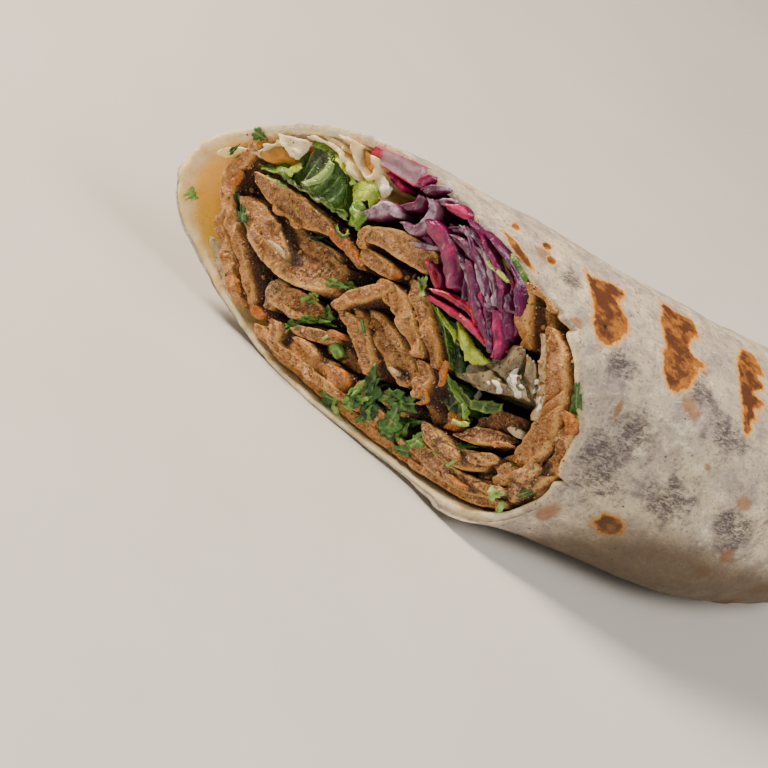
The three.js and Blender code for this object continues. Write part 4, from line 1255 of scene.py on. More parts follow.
def meatMesh(piece, seed):
    parts = []
    for k, layer in enumerate([piece] + piece.get("extra", [])):
        part = slab(layer["line"], layer["thick"], layer["out"], frontRough=meatCut["rough"],
                    frontTilt=layer.get("tilt", 0), grooves=layer.get("grooves", ()), seed=seed + 50 * k,
                    deep=layer.get("deep", meatCut["layerDeep"] if k else meatCut["deep"]),
                    endRound=meatCut["endRound"], placed=True)
        values = part["values"]
        values["brown"] = np.clip(np.abs(values["side"]) - 0.4, 0, 1) * 0.5 + 0.75 * layer.get("brown", 0.0)
        plain = {"fat": 0.0, "gold": piece.get("gold", 0.0), "open": piece.get("open", 0.0),
                 "tone": meatCut["toneSwing"] * math.sin(12.9 * seed + 4.1 * k)}
        for name, value in plain.items():
            values[name] = np.full(len(part["points"]), layer.get(name, value))
        values["across"] = values["side"] * max(layer["thick"]) / 2
        # Painted shade: a layer's extra depth for shade is added here, so the finish paints it darker.
        values["back"] = values["back"] + layer.get("sunk", 0.0)
        values["shade"] = shadeUnder(part, meatOutlines)
        parts.append(part)
    settings = {**meatTear, "Shift": 0.0137 * seed, "Finish": finishes["meat"]}
    return grown(makeMesh("slice", joined(parts), finishes["meat"]), tornMeat, settings)


finishes["meat"] = meatFinish()
tornMeat = tornMeatTree()
meatOutlines = outlinesOf(meatSlices)
for seed, piece in enumerate(meatSlices):
    addPiece("meat_" + piece["name"] + "_torn", meatMesh(piece, seed), finishes["meat"], "meat",
             "meat_" + piece["name"])
print("meat is sliced")


# Lettuce: each leaf runs back through the roll as a crinkled band, and opens into sheets at the cut.
# Sheet rows are (q, z, out) from the rim of the leaf inwards; a higher tone is paler and more yellow.
lettuceBands = [
    {"name": "large_leaf",
     "line": [(-32.4, 43), (-30.2, 36.6), (-27, 43), (-24, 37.4), (-21, 42.6), (-18.6, 37.6)],
     "thick": [1, 1.3, 1], "out": -2},
    {"name": "far_leaf", "line": [(-37.4, 34.8), (-34.8, 36.2), (-34.8, 40)], "thick": [0.9, 1.2], "out": -1},
    {"name": "curly_leaf", "line": [(-17.6, 44.4), (-15.6, 41.6), (-16.4, 37.2)], "thick": [1.1, 1.4, 1],
     "out": 1},
    {"name": "top_leaf", "line": [(7.4, 53.4), (10.4, 52.5), (13.4, 53), (16.6, 51.8)],
     "thick": [0.9, 1.1, 0.9], "out": 0},
    {"name": "middle_leaf", "line": [(8, 35.2), (12, 32.1), (16.6, 28.2)], "thick": [0.9, 1.1, 0.9],
     "out": 0},
    {"name": "frilly_leaf", "line": [(11.6, 34.6), (14.6, 35.2), (17.4, 32.8), (21, 33.6)],
     "thick": [1.1, 1.4, 1.1], "out": 1},
    {"name": "dark_leaf", "line": [(18, 24.6), (21.6, 23.8), (24.6, 20.8)], "thick": [1.1, 1.4, 1],
     "out": -0.6},
    {"name": "small_dark_leaf", "line": [(24.2, 23.6), (27, 24.6), (29, 26.8)], "thick": [0.9, 1.2, 0.9],
     "out": 0},
]
lettuceSheets = {
    "large_leaf": [
        {"tone": 0.55, "ribs": 3, "ruffle": 0.5, "rows": [
            [(-32, 47.2, -1.4), (-29.8, 47.8, -1), (-27.4, 47.4, -0.6), (-25.4, 46.6, -0.4)],
            [(-31.6, 44.6, -0.6), (-30.2, 45.4, 0), (-28, 45.6, 0.4), (-25.8, 45, 0.4)]]},
        {"tone": 0.16, "ribs": 2, "ruffle": 0.16, "jag": 0.12, "rows": [
            [(-31.4, 46.4, -0.8), (-29.6, 46.6, -0.4), (-27.8, 46, 0.4), (-26.6, 45.2, 0.8)],
            [(-31, 43.2, -0.2), (-29.4, 43, 0.2), (-28, 42.6, 0.8), (-26.8, 42, 1.2)],
            [(-30.2, 39.6, 0), (-29, 39.6, 0.6), (-28, 39.2, 1.2), (-27.2, 39, 1.6)],
            [(-29, 36.2, 1.2), (-28.6, 36.2, 1.4), (-28, 36.2, 1.8), (-27.4, 36.2, 2.0)]]},
        {"tone": 0.36, "ribs": 4, "ruffle": 0.3, "jag": 0.15, "rows": [
            [(-26.8, 46, 0.4), (-24.4, 45.8, -0.6), (-22, 45.2, -0.6), (-20, 44, -1.6)],
            [(-27, 43, 1.2), (-24.4, 43, 0.2), (-21.6, 42.4, 0.8), (-19.6, 41.6, -0.6)],
            [(-27.4, 39.6, 1.8), (-24.8, 39.6, 0.8), (-21.8, 39.4, 1.6), (-19, 39, 0)],
            [(-28, 36.4, 2.0), (-25.6, 36.4, 1.4), (-22.6, 36.4, 2.2), (-19.6, 36.8, 1.0)]]},
        {"tone": 0.45, "ribs": 1, "pale": 0.8, "ruffle": 0.12, "jag": 0.1, "rows": [
            [(-27.2, 45, 1.0), (-27, 42.4, 1.6), (-27.6, 39.6, 2.0), (-29, 36.8, 2.4)],
            [(-26.4, 44.8, 1.6), (-26, 42.4, 2.2), (-26.6, 39.6, 2.6), (-28.2, 36.8, 2.8)],
            [(-25.6, 45, 1.0), (-25, 42.6, 1.6), (-25.6, 39.8, 2.0), (-27.6, 37, 2.4)]]},
        {"tone": 0.95, "ribs": 1, "ruffle": 0.45, "rows": [
            [(-27.2, 47, -0.2), (-24.4, 46.8, 1.0), (-21.6, 46, 0.8), (-19.4, 44.8, 1.0)],
            [(-26.4, 45.6, 1.0), (-24.2, 45.2, 1.8), (-21.8, 44.6, 1.6), (-20.2, 43.6, 1.6)]]},
        {"tone": 0.12, "ribs": 2, "ruffle": 0.7, "jag": 0.7, "rows": [
            [(-35, 35.6, 1.0), (-31, 36, 1.6), (-27, 36.8, 2.4), (-22, 37.4, 2.2), (-17.6, 38, 1.6)],
            [(-34.6, 34.6, 1.8), (-30.6, 34.8, 2.4), (-26.4, 35.6, 3.2), (-21.6, 36.2, 3.0),
             (-17.4, 36.6, 2.4)]]},
    ],
    "far_leaf": [
        {"tone": 0.6, "ribs": 2, "ruffle": 0.4, "rows": [
            [(-38.4, 34, -0.6), (-35.4, 35.6, -0.2), (-33, 38, 0.2), (-31.8, 40.6, -0.4)],
            [(-37.4, 33.4, 0.6), (-34.6, 34.6, 1.0), (-32, 36.8, 1.4), (-30.6, 39, 0.8)]]},
        {"tone": 0.85, "ribs": 1, "ruffle": 0.3, "rows": [
            [(-33.4, 36.4, 1.0), (-32.2, 38.4, 1.0), (-31.6, 40.4, 0.4)],
            [(-32, 35.6, 1.8), (-30.8, 37.6, 1.8), (-30.4, 39.4, 1.2)]]},
        {"tone": 0.3, "ribs": 2, "ruffle": 0.5, "rows": [
            [(-36, 33, 0.6), (-33.4, 33.8, 1.0), (-31, 34.8, 1.0)],
            [(-35.4, 32.6, 1.6), (-33, 33, 2.0), (-30.4, 33.8, 2.0)]]},
    ],
    "curly_leaf": [
        {"tone": 0.9, "ribs": 2, "ruffle": 0.55, "rows": [
            [(-20.2, 43.4, 0.4), (-19.4, 46.2, 0.2), (-17.4, 48.2, 0.4), (-15, 46.6, 0.8),
             (-13.6, 44.6, 0.6)],
            [(-19, 42.2, 1.4), (-18.2, 44.4, 1.8), (-16.8, 46, 2.0), (-15, 44.8, 2.0), (-13.8, 43, 1.6)],
            [(-17.8, 40.8, 1.6), (-17, 42.2, 2.4), (-16, 43.2, 2.6), (-14.8, 42, 2.4), (-13.8, 40.6, 1.8)]]},
        {"tone": 0.62, "ribs": 2, "ruffle": 0.6, "rows": [
            [(-18.4, 41.6, 0.6), (-16.6, 42.4, 2.2), (-14.4, 41.8, 1.6)],
            [(-17.4, 39, 1.4), (-15.8, 39.2, 2.8), (-13.8, 38.8, 2.0)],
            [(-16.8, 36.4, 1.0), (-15.2, 36.6, 2.4), (-13.6, 37, 1.6)]]},
        {"tone": 0.35, "ribs": 1, "ruffle": 0.2, "rows": [
            [(-18.8, 34.6, 1.6), (-17.4, 33.2, 2.6), (-15.6, 33.4, 2.8), (-15, 35.2, 2.0)],
            [(-18.2, 35.2, 2.0), (-17.2, 34.2, 3.2), (-16, 34.4, 3.2), (-15.6, 35.4, 2.4)]]},
    ],
    "top_leaf": [
        {"tone": 0.3, "ribs": 2, "ruffle": 0.4, "rows": [
            [(4.8, 55.4, -1.6), (8, 55.2, -1), (11.4, 54, -0.6), (13, 53, -0.8)],
            [(5.4, 54, -0.6), (8.4, 53.6, 0), (11, 52.4, 0.4), (12.4, 51.6, 0)]]},
        {"tone": 0.5, "ribs": 3, "ruffle": 0.7, "rows": [
            [(11.4, 54.8, -0.4), (13.6, 55.4, 0.2), (16.4, 54.8, 0.2), (19.4, 53.6, -0.4)],
            [(11.8, 53.2, 0.8), (14, 53.6, 1.4), (16.6, 53.2, 1.2), (18.8, 52.6, 0.4)],
            [(12.6, 51.8, 1.0), (14.4, 52, 1.6), (16.4, 51.8, 1.4), (18.2, 51.6, 0.6)]]},
        {"tone": 1.1, "ribs": 1, "ruffle": 0.25, "rows": [
            [(8.8, 52.2, 1.2), (10.4, 51, 2.0), (13.2, 50.8, 2.2), (16, 50.4, 1.6)],
            [(8.8, 51, 1.8), (10.6, 50, 2.6), (13.2, 49.8, 2.8), (15.6, 49.6, 2.2)]]},
    ],
    "middle_leaf": [
        {"tone": 0.45, "ribs": 2, "ruffle": 0.3, "rows": [
            [(6.8, 35.6, 0.2), (10, 33.8, 0.6), (13.6, 30.8, 0.8), (17.2, 27, 0.4)],
            [(8.4, 36, -1.2), (11.4, 34.4, -1.0), (15.2, 31, -0.8), (18.4, 27.4, -1.0)]]},
        {"tone": 0.15, "ribs": 3, "ruffle": 0.5, "rows": [
            [(11, 35.6, -1.4), (13.4, 32.8, -1.6), (16.6, 30.4, -1.4), (19.2, 27, -1.6)],
            [(13.4, 34.6, -0.4), (15.4, 32.6, -0.8), (18.2, 30.4, -0.6), (20.4, 27.6, -0.8)],
            [(16, 33.4, -1.6), (17.8, 31.6, -1.6), (19.6, 29.8, -1.8), (21.4, 28, -2.0)]]},
    ],
    "frilly_leaf": [
        {"tone": 1.0, "ribs": 2, "ruffle": 0.5, "rows": [
            [(12.6, 36.8, 0.4), (15, 36.2, 1.0), (18, 34.8, 1.2), (21, 34.8, 1.2), (23.4, 34.2, 0.6)],
            [(13.4, 35.2, 1.6), (15.8, 34.2, 2.4), (18.4, 32.8, 2.6), (21, 33, 2.4), (22.8, 33.2, 1.6)],
            [(14.6, 33.4, 1.2), (16.8, 32, 2.0), (18.6, 30.8, 2.2), (20.4, 31, 2.0), (21.6, 32.2, 1.2)]]},
        {"tone": 0.85, "ribs": 2, "ruffle": 0.35, "rows": [
            [(7.4, 35.8, 1.0), (10, 35, 1.4), (12.6, 34.8, 1.6), (15, 33.4, 1.4)],
            [(8.4, 34.8, 1.8), (10.6, 33.8, 2.2), (13, 33.2, 2.4), (15.2, 31.8, 2.0)]]},
    ],
    "dark_leaf": [
        {"tone": 0.12, "ribs": 3, "ruffle": 0.5, "rows": [
            [(17.2, 25.6, 0), (19.8, 25.4, -0.4), (22.6, 25.2, -0.6), (25.4, 24.4, -0.2)],
            [(17.8, 23, -1.4), (20.2, 22.8, -2.2), (22.8, 22.8, -2.2), (25.4, 22.2, -1.0)],
            [(19, 19.8, -1.4), (21, 19.6, -2.0), (23.2, 19.6, -1.8), (25.2, 19.8, -1.0)]]},
        {"tone": 0.55, "ribs": 1, "ruffle": 0.25, "rows": [
            [(17.6, 25.8, 0.8), (20.4, 24.2, 1.0), (23, 23.6, 1.2), (25.4, 22.6, 1.2), (27, 20.6, 1.0)],
            [(18.2, 24.6, 1.2), (20.6, 23.2, 1.6), (23, 22.4, 1.8), (24.8, 21.6, 1.8), (25.8, 19.8, 1.4)]]},
        {"tone": 0.9, "ribs": 1, "ruffle": 0.1, "rows": [
            [(24, 18.4, 1.4), (25.6, 19.2, 1.8), (27.4, 20.8, 1.8)],
            [(24.4, 17.6, 1.8), (26, 18.4, 2.2), (27.8, 19.8, 2.0)]]},
    ],
    "small_dark_leaf": [
        {"tone": 0.28, "ribs": 2, "ruffle": 0.4, "rows": [
            [(24.6, 24.8, 0.6), (26.8, 26.4, 0.4), (28.6, 28.2, 0), (30, 29.2, -0.6)],
            [(25.2, 22.8, 1.4), (27.4, 23.8, 1.4), (29.4, 25.4, 0.8), (31, 27.2, 0)]]},
    ],
}


leafShape = {"step": 0.26, "thick": 0.42, "ruffleSize": 2.4, "jag": 0.35}


def leafFinish():
    material, tree, shader, coords = newFinish("lettuce")
    tone, rib, edge = (attributeIn(tree, k) for k in ("tone", "rib", "rim"))
    broad = noiseIn(tree, coords, 3.0, 4, 0.6)
    fine = noiseIn(tree, coords, 0.8, 4, 0.65)
    shade = maths(tree, "ADD", tone, maths(tree, "MULTIPLY_ADD", broad, 0.9, -0.45))
    base = blended(tree, between(tree, shade, 0.0, 0.35), "#0d240b", "#264f14")
    base = coated(tree, base, "#56841c", shade, 0.3, 0.65)
    base = coated(tree, base, "#a2b52c", shade, 0.6, 1.0)
    base = coated(tree, base, "#cfd385", shade, 1.0, 1.3)
    base = coated(tree, base, "#1c3c10", fine, 0.5, 0.75, 0, 0.35)
    base = blended(tree, maths(tree, "MULTIPLY", rib, 0.6), base, "#a8c078")
    base = blended(tree, maths(tree, "MULTIPLY", edge, 0.35), base, "#c3d65a")
    tree.links.new(base, shader.inputs["Base Color"])
    setNode(shader, Roughness=0.34, Subsurface_Weight=0.15, Subsurface_Scale=0.0014, Specular_IOR_Level=0.5)
    shader.inputs["Subsurface Radius"].default_value = (0.5, 1.0, 0.2)
    veins = cellsIn(tree, coords, 1.5, "DISTANCE_TO_EDGE")
    relief = maths(tree, "ADD", maths(tree, "MULTIPLY", between(tree, veins, 0.0, 0.12), 0.6),
                   maths(tree, "MULTIPLY", fine, 0.5))
    bumped(tree, shader, relief, 0.4, 0.7)
    return material


def leafSheet(patch, seed):
    rows = [smoothLine(r, 40) for r in patch["rows"]]
    tall = np.linalg.norm(rows[-1] - rows[0], axis=1).mean()
    wide = lineLength(patch["rows"][0])
    counts = (max(10, int(tall / leafShape["step"])), max(12, int(wide / leafShape["step"])))
    jag = patch.get("jag", leafShape["jag"])
    part = sheet(patch["rows"], leafShape["thick"], counts, patch["ruffle"], leafShape["ruffleSize"], jag,
                 seed)
    a, b = part["values"]["a"], part["values"]["b"]
    wobble = 0.05 * noise(part["points"], 3, seed)
    strands = np.abs(np.sin(math.pi * patch["ribs"] * (b + wobble + 0.12 * a)))
    part["values"]["rib"] = np.exp(-(strands / 0.22) ** 2) * np.clip(a * 1.6, 0, 1) + patch.get("pale", 0)
    part["values"]["tone"] = np.full(a.shape, float(patch["tone"]))
    part["values"]["rim"] = np.exp(-part["values"]["edge"] / 1.5)
    return part


def lettucePart(band, seed):
    run = slab(band["line"], band["thick"], band["out"], frontRough=0.3, seed=seed, corner=0.3, endRound=0.5,
               step=0.4)
    at = run["points"]
    run = pushed(run, 0.3 * noise(at, 2.4, seed) * np.exp(-run["values"]["back"] / 12))
    # Painted shade: the band is painted darker further back behind the cut.
    depthShade = np.clip(run["values"]["back"] / 5, 0, 1)
    run["values"]["tone"] = 0.35 + 0.2 * noise(run["points"], 4, seed) - 0.3 * depthShade
    sheets = [leafSheet(patch, 11 * seed + k) for k, patch in enumerate(lettuceSheets[band["name"]])]
    return joined([run] + sheets)


finishes["lettuce"] = leafFinish()
for seed, band in enumerate(lettuceBands):
    addPiece("lettuce_" + band["name"] + "_crisp", lettucePart(band, seed), finishes["lettuce"], "lettuce",
             "lettuce_" + band["name"])
print("lettuce is tucked in")

# Red cabbage: a core of packed shreds and the shreds that show. Tone 0 is pale flesh, 1 magenta, 2 crimson.
cabbageCore = {"line": [(-7.6, 50.2), (-1, 50.4), (6, 47.2), (13, 43.6), (18.6, 40.4)],
               "thick": [3.4, 7.4, 10.4, 10.6, 4.4], "out": -2.4}
cabbageShreds = [
    {"line": [(-19.6, 51.5), (-15.6, 51.1), (-11.8, 50.7)], "thick": [0.6, 1.7, 1.8], "out": -0.6,
     "tone": 1.25, "deep": 16},
    {"line": [(-4.6, 48.6), (-1, 48.2), (2.4, 46.8), (5.4, 43.6), (7.6, 40.4)],
     "thick": [3.2, 3.8, 3.6, 3.6, 2.8], "out": 2.8, "tone": 0.9},
    {"line": [(1.6, 49.8), (5, 50.2), (8.4, 49.4), (12, 46.6), (16.6, 42.6)],
     "thick": [1.6, 2.2, 2.2, 2.0, 1.4], "out": 2.2, "tone": 0.35},
    {"line": [(6.8, 47.8), (10, 44.8), (13, 41.8), (17, 38.8), (21.4, 35.4)],
     "thick": [1.6, 2.2, 2.2, 2.2, 1.6], "out": 3.0, "tone": 0.55},
    {"line": [(17.4, 43.8), (19.4, 41.2), (21.2, 38.2), (23, 35)], "thick": [1.2, 2.2, 2.4, 1.0], "out": 2.6,
     "tone": 1.15},
    {"line": [(18.6, 46.2), (20.6, 43), (22.4, 39.4)], "thick": [1.2, 1.6, 1.2], "out": 1.6, "tone": 0.5},
    {"line": [(13.6, 48.2), (16.6, 47), (19.6, 45.2)], "thick": [1.4, 1.8, 1.4], "out": 2.2, "tone": 0.35},
    {"line": [(9.4, 48.6), (12.6, 47), (16.4, 45.6), (19, 42.8)], "thick": [1.2, 1.6, 1.6, 1.2], "out": 1.4,
     "tone": 0.6},
    {"line": [(10, 44.2), (12, 41.6), (14.6, 39.4)], "thick": [1.4, 1.8, 1.4], "out": 1.6, "tone": 0.7},
    {"line": [(4.4, 46.6), (8, 44.4), (10.6, 41.4), (12.4, 38.8)], "thick": [1.4, 1.8, 1.6, 1.2], "out": 1.6,
     "tone": 0.5},
    {"line": [(4.6, 37.6), (9, 39.4), (13.4, 39.6), (16.6, 38.2)], "thick": [1.0, 2.0, 2.4, 1.4], "out": 2.2,
     "tone": 1.9},
    {"line": [(5, 36), (10, 36.8), (15, 37.2), (20.4, 36.4)], "thick": [1.0, 1.8, 2.0, 1.4], "out": 2.6,
     "tone": 1.7},
    {"line": [(1.0, 42.4), (3.2, 40.6), (5.6, 38.6)], "thick": [1.4, 2.4, 1.4], "out": 1.8, "tone": 1.9},
    {"line": [(0.8, 50.8), (3, 52.8), (5.2, 53), (6.8, 51.6)], "thick": [1.2, 1.8, 1.8, 1.2], "out": 1.8,
     "tone": 0.3},
    {"line": [(2, 49.8), (4.2, 51), (6.6, 50.2), (8, 48.4)], "thick": [1.0, 1.4, 1.4, 1.0], "out": 1.2,
     "tone": 0.6},
    {"line": [(-8, 44.6), (-5.2, 45.4), (-4.2, 48.6), (-5, 51.6), (-6.6, 52.6)],
     "thick": [1.6, 2.6, 2.4, 1.8, 1.2], "out": 2.8, "tone": 0.15},
    {"line": [(-8.4, 53), (-7, 55), (-5, 57)], "thick": [1.2, 1.6, 1.2], "out": 1.2, "tone": 0.2},
    {"line": [(-5.6, 52.4), (-3.8, 54.4), (-2, 56)], "thick": [1.2, 1.8, 1.4], "out": 1.4, "tone": 0.15,
     "deep": 3},
    {"line": [(-9.8, 53.6), (-9.2, 55.4), (-8.6, 57)], "thick": [1.4, 1.8, 1.4], "out": 0.8, "tone": 1.1},
    {"line": [(-3, 53.8), (-0.6, 55), (2, 55.2)], "thick": [1.4, 2.6, 1.6], "out": 1.8, "tone": 1.5,
     "deep": 2},
    {"line": [(-4, 42.4), (-2, 44), (0.2, 45.6)], "thick": [1.2, 1.8, 1.4], "out": 2.2, "tone": 0.1},
    {"line": [(-4.4, 45.4), (-1.8, 45.8), (0.4, 44.6)], "thick": [1.2, 1.6, 1.2], "out": 1.4, "tone": 1.0},
    {"line": [(-9.6, 47.6), (-8, 49.8), (-8.4, 52)], "thick": [1.4, 2.0, 1.4], "out": 1.6, "tone": 0.5},
]
# Between two guide lines a fan of thin shreds follows the bundle.
cabbageFan = {
    "count": 26, "seed": 4, "wander": 1.0, "thick": (0.9, 1.5), "out": (-0.8, 2.6), "tone": (-0.15, 1.0),
    "from": [(4.6, 56), (11, 54), (17.4, 50.2), (22, 45.6), (24.6, 39.8)],
    "to": [(0.4, 50.8), (4.4, 48), (8.4, 44.4), (12.2, 41), (16.6, 38)],
}
cabbagePoint = {"line": [(-16.2, 39.4), (-13.8, 42.4), (-11.8, 45.4), (-9.4, 45.6)],
                "thick": [1.0, 2.8, 3.4, 2.0], "out": 2.2, "tone": 0.12}
radish = {"line": [(-21.2, 52.2), (-16.2, 53.7), (-10.7, 55)], "thick": [3.0, 4.1, 4.8], "out": 0.9,
          "corner": 0.12, "dome": -0.15, "frontRough": 0.1, "endRound": 0.4}


def cabbageFinish():
    material, tree, shader, coords = newFinish("red cabbage")
    tone, side, back = (attributeIn(tree, k) for k in ("tone", "side", "back"))
    broad = noiseIn(tree, coords, 2.6, 4, 0.6)
    streaks = noiseIn(tree, coords, 1.0, 4, 0.6, 0.8, (1.0, 1.0, 0.4))
    fine = noiseIn(tree, coords, 0.5, 3)
    hue = maths(tree, "ADD", tone, maths(tree, "MULTIPLY_ADD", broad, 1.7, -0.85))
    base = blended(tree, between(tree, hue, -0.05, 0.4), "#b8a0b4", "#5f244e")
    base = coated(tree, base, "#820e50", hue, 0.45, 0.85)
    base = coated(tree, base, "#c21560", hue, 0.95, 1.35)
    base = coated(tree, base, "#a8112b", hue, 1.4, 1.95)
    base = coated(tree, base, "#36082a", streaks, 0.48, 0.7, 0, 0.75)
    base = coated(tree, base, "#d8b4c6", streaks, 0.28, 0.42, 0.3, 0)
    # Dark magenta at the sides of each shred: partly the skin's own colour, partly painted shade between
    # packed shreds.
    skin = between(tree, maths(tree, "ABSOLUTE", side), 0.62, 0.95, 0, 0.9)
    base = blended(tree, skin, base, "#62083e")
    # Painted shade: shreds turn near black further back behind the cut.
    base = coated(tree, base, "#1a0410", back, 0.25, 1.8, 0, 0.94)
    tree.links.new(base, shader.inputs["Base Color"])
    setNode(shader, Roughness=0.22, Subsurface_Weight=0.12, Subsurface_Scale=0.0012, Specular_IOR_Level=0.6)
    shader.inputs["Subsurface Radius"].default_value = (1.0, 0.3, 0.7)
    relief = maths(tree, "ADD", streaks, maths(tree, "MULTIPLY", fine, 0.4))
    bumped(tree, shader, relief, 0.4, 0.5)
    return material


shredShape = {"frontRough": 0.35, "corner": 0.5, "dome": 0.45, "endRound": 0.9, "step": 0.3}


def shredPart(shred, seed, deep=12):
    look = {k: v for k, v in shred.items() if k not in ("line", "thick", "out", "tone")}
    part = slab(shred["line"], shred["thick"], shred["out"], seed=seed + 40,
                **{**shredShape, "deep": deep, **look})
    values = part["values"]
    near = np.exp(-values["back"] / 6)
    ridges = 0.14 * np.sin(values["side"] * 5 + 0.8 * np.sin(values["along"] * 0.7 + seed))
    ridges = ridges + 0.22 * cloud(part["points"], 2.2, seed) + 0.05 * noise(part["points"], 0.7, seed)
    part = pushed(part, near * ridges)
    values["tone"] = np.full(len(part["points"]), float(shred["tone"]))
    return part


def fanParts():
    draw = np.random.default_rng(cabbageFan["seed"])
    parts = []
    for k in range(cabbageFan["count"]):
        t = k / (cabbageFan["count"] - 1)
        line = (1 - t) * np.array(cabbageFan["from"]) + t * np.array(cabbageFan["to"])
        line = line + draw.uniform(-1, 1, line.shape) * cabbageFan["wander"]
        start, stop = draw.integers(0, 2), 5 - draw.integers(0, 2)
        thick = draw.uniform(*cabbageFan["thick"], 4) * (0.7, 1, 1, 0.7)
        shred = {"line": line[start:stop].tolist(), "thick": thick.tolist(),
                 "out": draw.uniform(*cabbageFan["out"]), "tone": draw.uniform(*cabbageFan["tone"])}
        parts.append(shredPart(shred, 60 + k))
    return parts


def corePart():
    part = slab(cabbageCore["line"], cabbageCore["thick"], cabbageCore["out"], frontRough=0.8, seed=77,
                endRound=3, step=0.34, corner=1.2)
    values = part["values"]
    furrows = np.sin(values["side"] * 9 + 1.6 * np.sin(values["along"] * 0.35)) * 0.7
    part = pushed(part, np.exp(-values["back"] / 6) * (furrows + 0.4 * cloud(part["points"], 2.6, 78)))
    values["tone"] = 0.55 + 0.3 * noise(part["points"], 3, 5)
    # Painted shade: the core is painted as if it lay 1.7 mm deeper, and its furrows get the dark side colour,
    # partly skin and partly painted shade.
    values["back"] = values["back"] + 1.7
    values["side"] = np.abs(np.sin(values["side"] * 4.5 + 0.8 * np.sin(values["along"] * 0.35)))
    return part


finishes["cabbage"] = cabbageFinish()
shredParts = [shredPart(shred, seed) for seed, shred in enumerate(cabbageShreds)]
addPiece("cabbage_bundle", joined([corePart()] + shredParts + fanParts()), finishes["cabbage"], "cabbage",
         "cabbage_shreds")
addPiece("cabbage_point_crisp", shredPart(cabbagePoint, 31, 101), finishes["cabbage"], "cabbage",
         "cabbage_point")


def radishFinish():
    material, tree, shader, coords = newFinish("radish")
    side, along = attributeIn(tree, "side"), attributeIn(tree, "along")
    broad = noiseIn(tree, coords, 2.0, 4, 0.6)
    fine = noiseIn(tree, coords, 0.5, 3, 0.6)
    base = blended(tree, between(tree, broad, 0.35, 0.7), "#a98492", "#855a70")
    base = coated(tree, base, "#c0a2ab", fine, 0.5, 0.75, 0, 0.4)
    skin = between(tree, maths(tree, "ABSOLUTE", side), 0.84, 0.96)
    tip = between(tree, along, 2.6, 1.2)
    base = blended(tree, maths(tree, "MAXIMUM", skin, tip), base, "#b3063f")
    tree.links.new(base, shader.inputs["Base Color"])
    setNode(shader, Roughness=0.3, Subsurface_Weight=0.12, Subsurface_Scale=0.001, Specular_IOR_Level=0.5)
    bumped(tree, shader, maths(tree, "ADD", broad, maths(tree, "MULTIPLY", fine, 0.5)), 0.25, 0.5)
    return material


finishes["radish"] = radishFinish()
addPiece("radish_block", shredPart({**radish, "tone": 0.2}, 33, 101), finishes["radish"], "cabbage",
         "radish_stick")
print("cabbage is shredded")

# Onion: soft translucent plates in front of one thick piece.
onion = {"line": [(19.8, 27), (22.4, 30), (25.4, 33.2), (28, 36.4), (28.4, 40)],
         "thick": [2.4, 5.4, 7.6, 6.2, 3.2], "out": -0.8, "plate": 0.6, "wetPlate": 3}
onionPlates = [
    [[(24, 40.2, 0.4), (24.4, 36.8, 1), (24, 33.2, 1.2)],
     [(26.2, 41.4, 1.4), (26.2, 37.4, 2.2), (25.8, 33, 2.2)],
     [(28.2, 40, 0.4), (28.4, 36.6, 1.2), (28.4, 33.4, 1.4)]],
    [[(20, 28, 1.4), (22.4, 30.8, 1.8), (24.4, 32.8, 2.0)], [(22, 28, 2), (25, 29.8, 2.6), (28, 32.4, 2.8)],
     [(24.4, 27.8, 1.2), (28, 29.6, 1.8), (31.4, 32.4, 1.8)]],
    [[(27.6, 41, 1), (29, 38.6, 1.4), (30.4, 35.8, 1.4)], [(29, 40.6, 2), (31, 38, 2.2), (33, 34.8, 2.0)],
     [(30.4, 40, 0.6), (32.6, 37, 0.8), (34, 34, 0.8)]],
    [[(27, 34.6, 2.6), (28.6, 33.6, 3), (30.6, 31.8, 2.6)],
     [(29, 36, 2.8), (31, 34.6, 3.2), (33.4, 33, 2.6)]],
]


def onionFinish():
    material, tree, shader, coords = newFinish("onion")
    broad = noiseIn(tree, coords, 3.2, 4, 0.6, 0.8)
    fine = noiseIn(tree, coords, 0.6, 3, 0.6)
    sauce = attributeIn(tree, "sauce")
    base = blended(tree, between(tree, broad, 0.36, 0.66), "#5f573b", "#8d8060")
    base = coated(tree, base, "#b5ae92", fine, 0.55, 0.75, 0, 0.5)
    wet = maths(tree, "ADD", sauce, maths(tree, "MULTIPLY_ADD", broad, 1.6, -0.8))
    base = coated(tree, base, "#e4e0d8", wet, 0.3, 0.6)
    tree.links.new(base, shader.inputs["Base Color"])
    setNode(shader, Roughness=0.24, Subsurface_Weight=0.3, Subsurface_Scale=0.002, Specular_IOR_Level=0.5)
    bumped(tree, shader, maths(tree, "ADD", broad, maths(tree, "MULTIPLY", fine, 0.3)), 0.3, 0.5)
    return material


def onionPart():
    base = slab(onion["line"], onion["thick"], onion["out"], frontRough=0.3, seed=61, corner=0.7,
                endRound=1.6)
    base = pushed(base, np.exp(-base["values"]["back"] / 7) * 0.45 * cloud(base["points"], 2.6, 62))
    plates = []
    for k, rows in enumerate(onionPlates):
        plate = sheet(rows, onion["plate"], (34, 36), 0.34, 2.6, 0.4, 63 + k)
        plate["values"]["sauce"] = np.full(len(plate["points"]), 0.2 if k == onion["wetPlate"] else -0.1)
        plates.append(plate)
    return joined([base] + plates)


finishes["onion"] = onionFinish()
addPiece("onion_soft", onionPart(), finishes["onion"], "onion", "onion_piece")
print("onion is in")

# What shows of the filling from in front of the cut, as a sheet to lay garnish on.
landing = {
    "step": 0.5, "q": (-48, 48), "z": (1, 59), "from": 14.0, "deepest": 14.0, "stopAt": 9, "flatTo": 0.9,
}
cutMiddle = np.array([-roll["shiftX"], -roll["shiftY"], 0.0])


def meshTriangles(mesh):
    mesh.calc_loop_triangles()
    points = np.empty(len(mesh.vertices) * 3)
    mesh.vertices.foreach_get("co", points)
    triangles = np.empty(len(mesh.loop_triangles) * 3, dtype=np.int64)
    mesh.loop_triangles.foreach_get("vertices", triangles)
    return points.reshape(-1, 3) / mm, triangles.reshape(-1, 3)


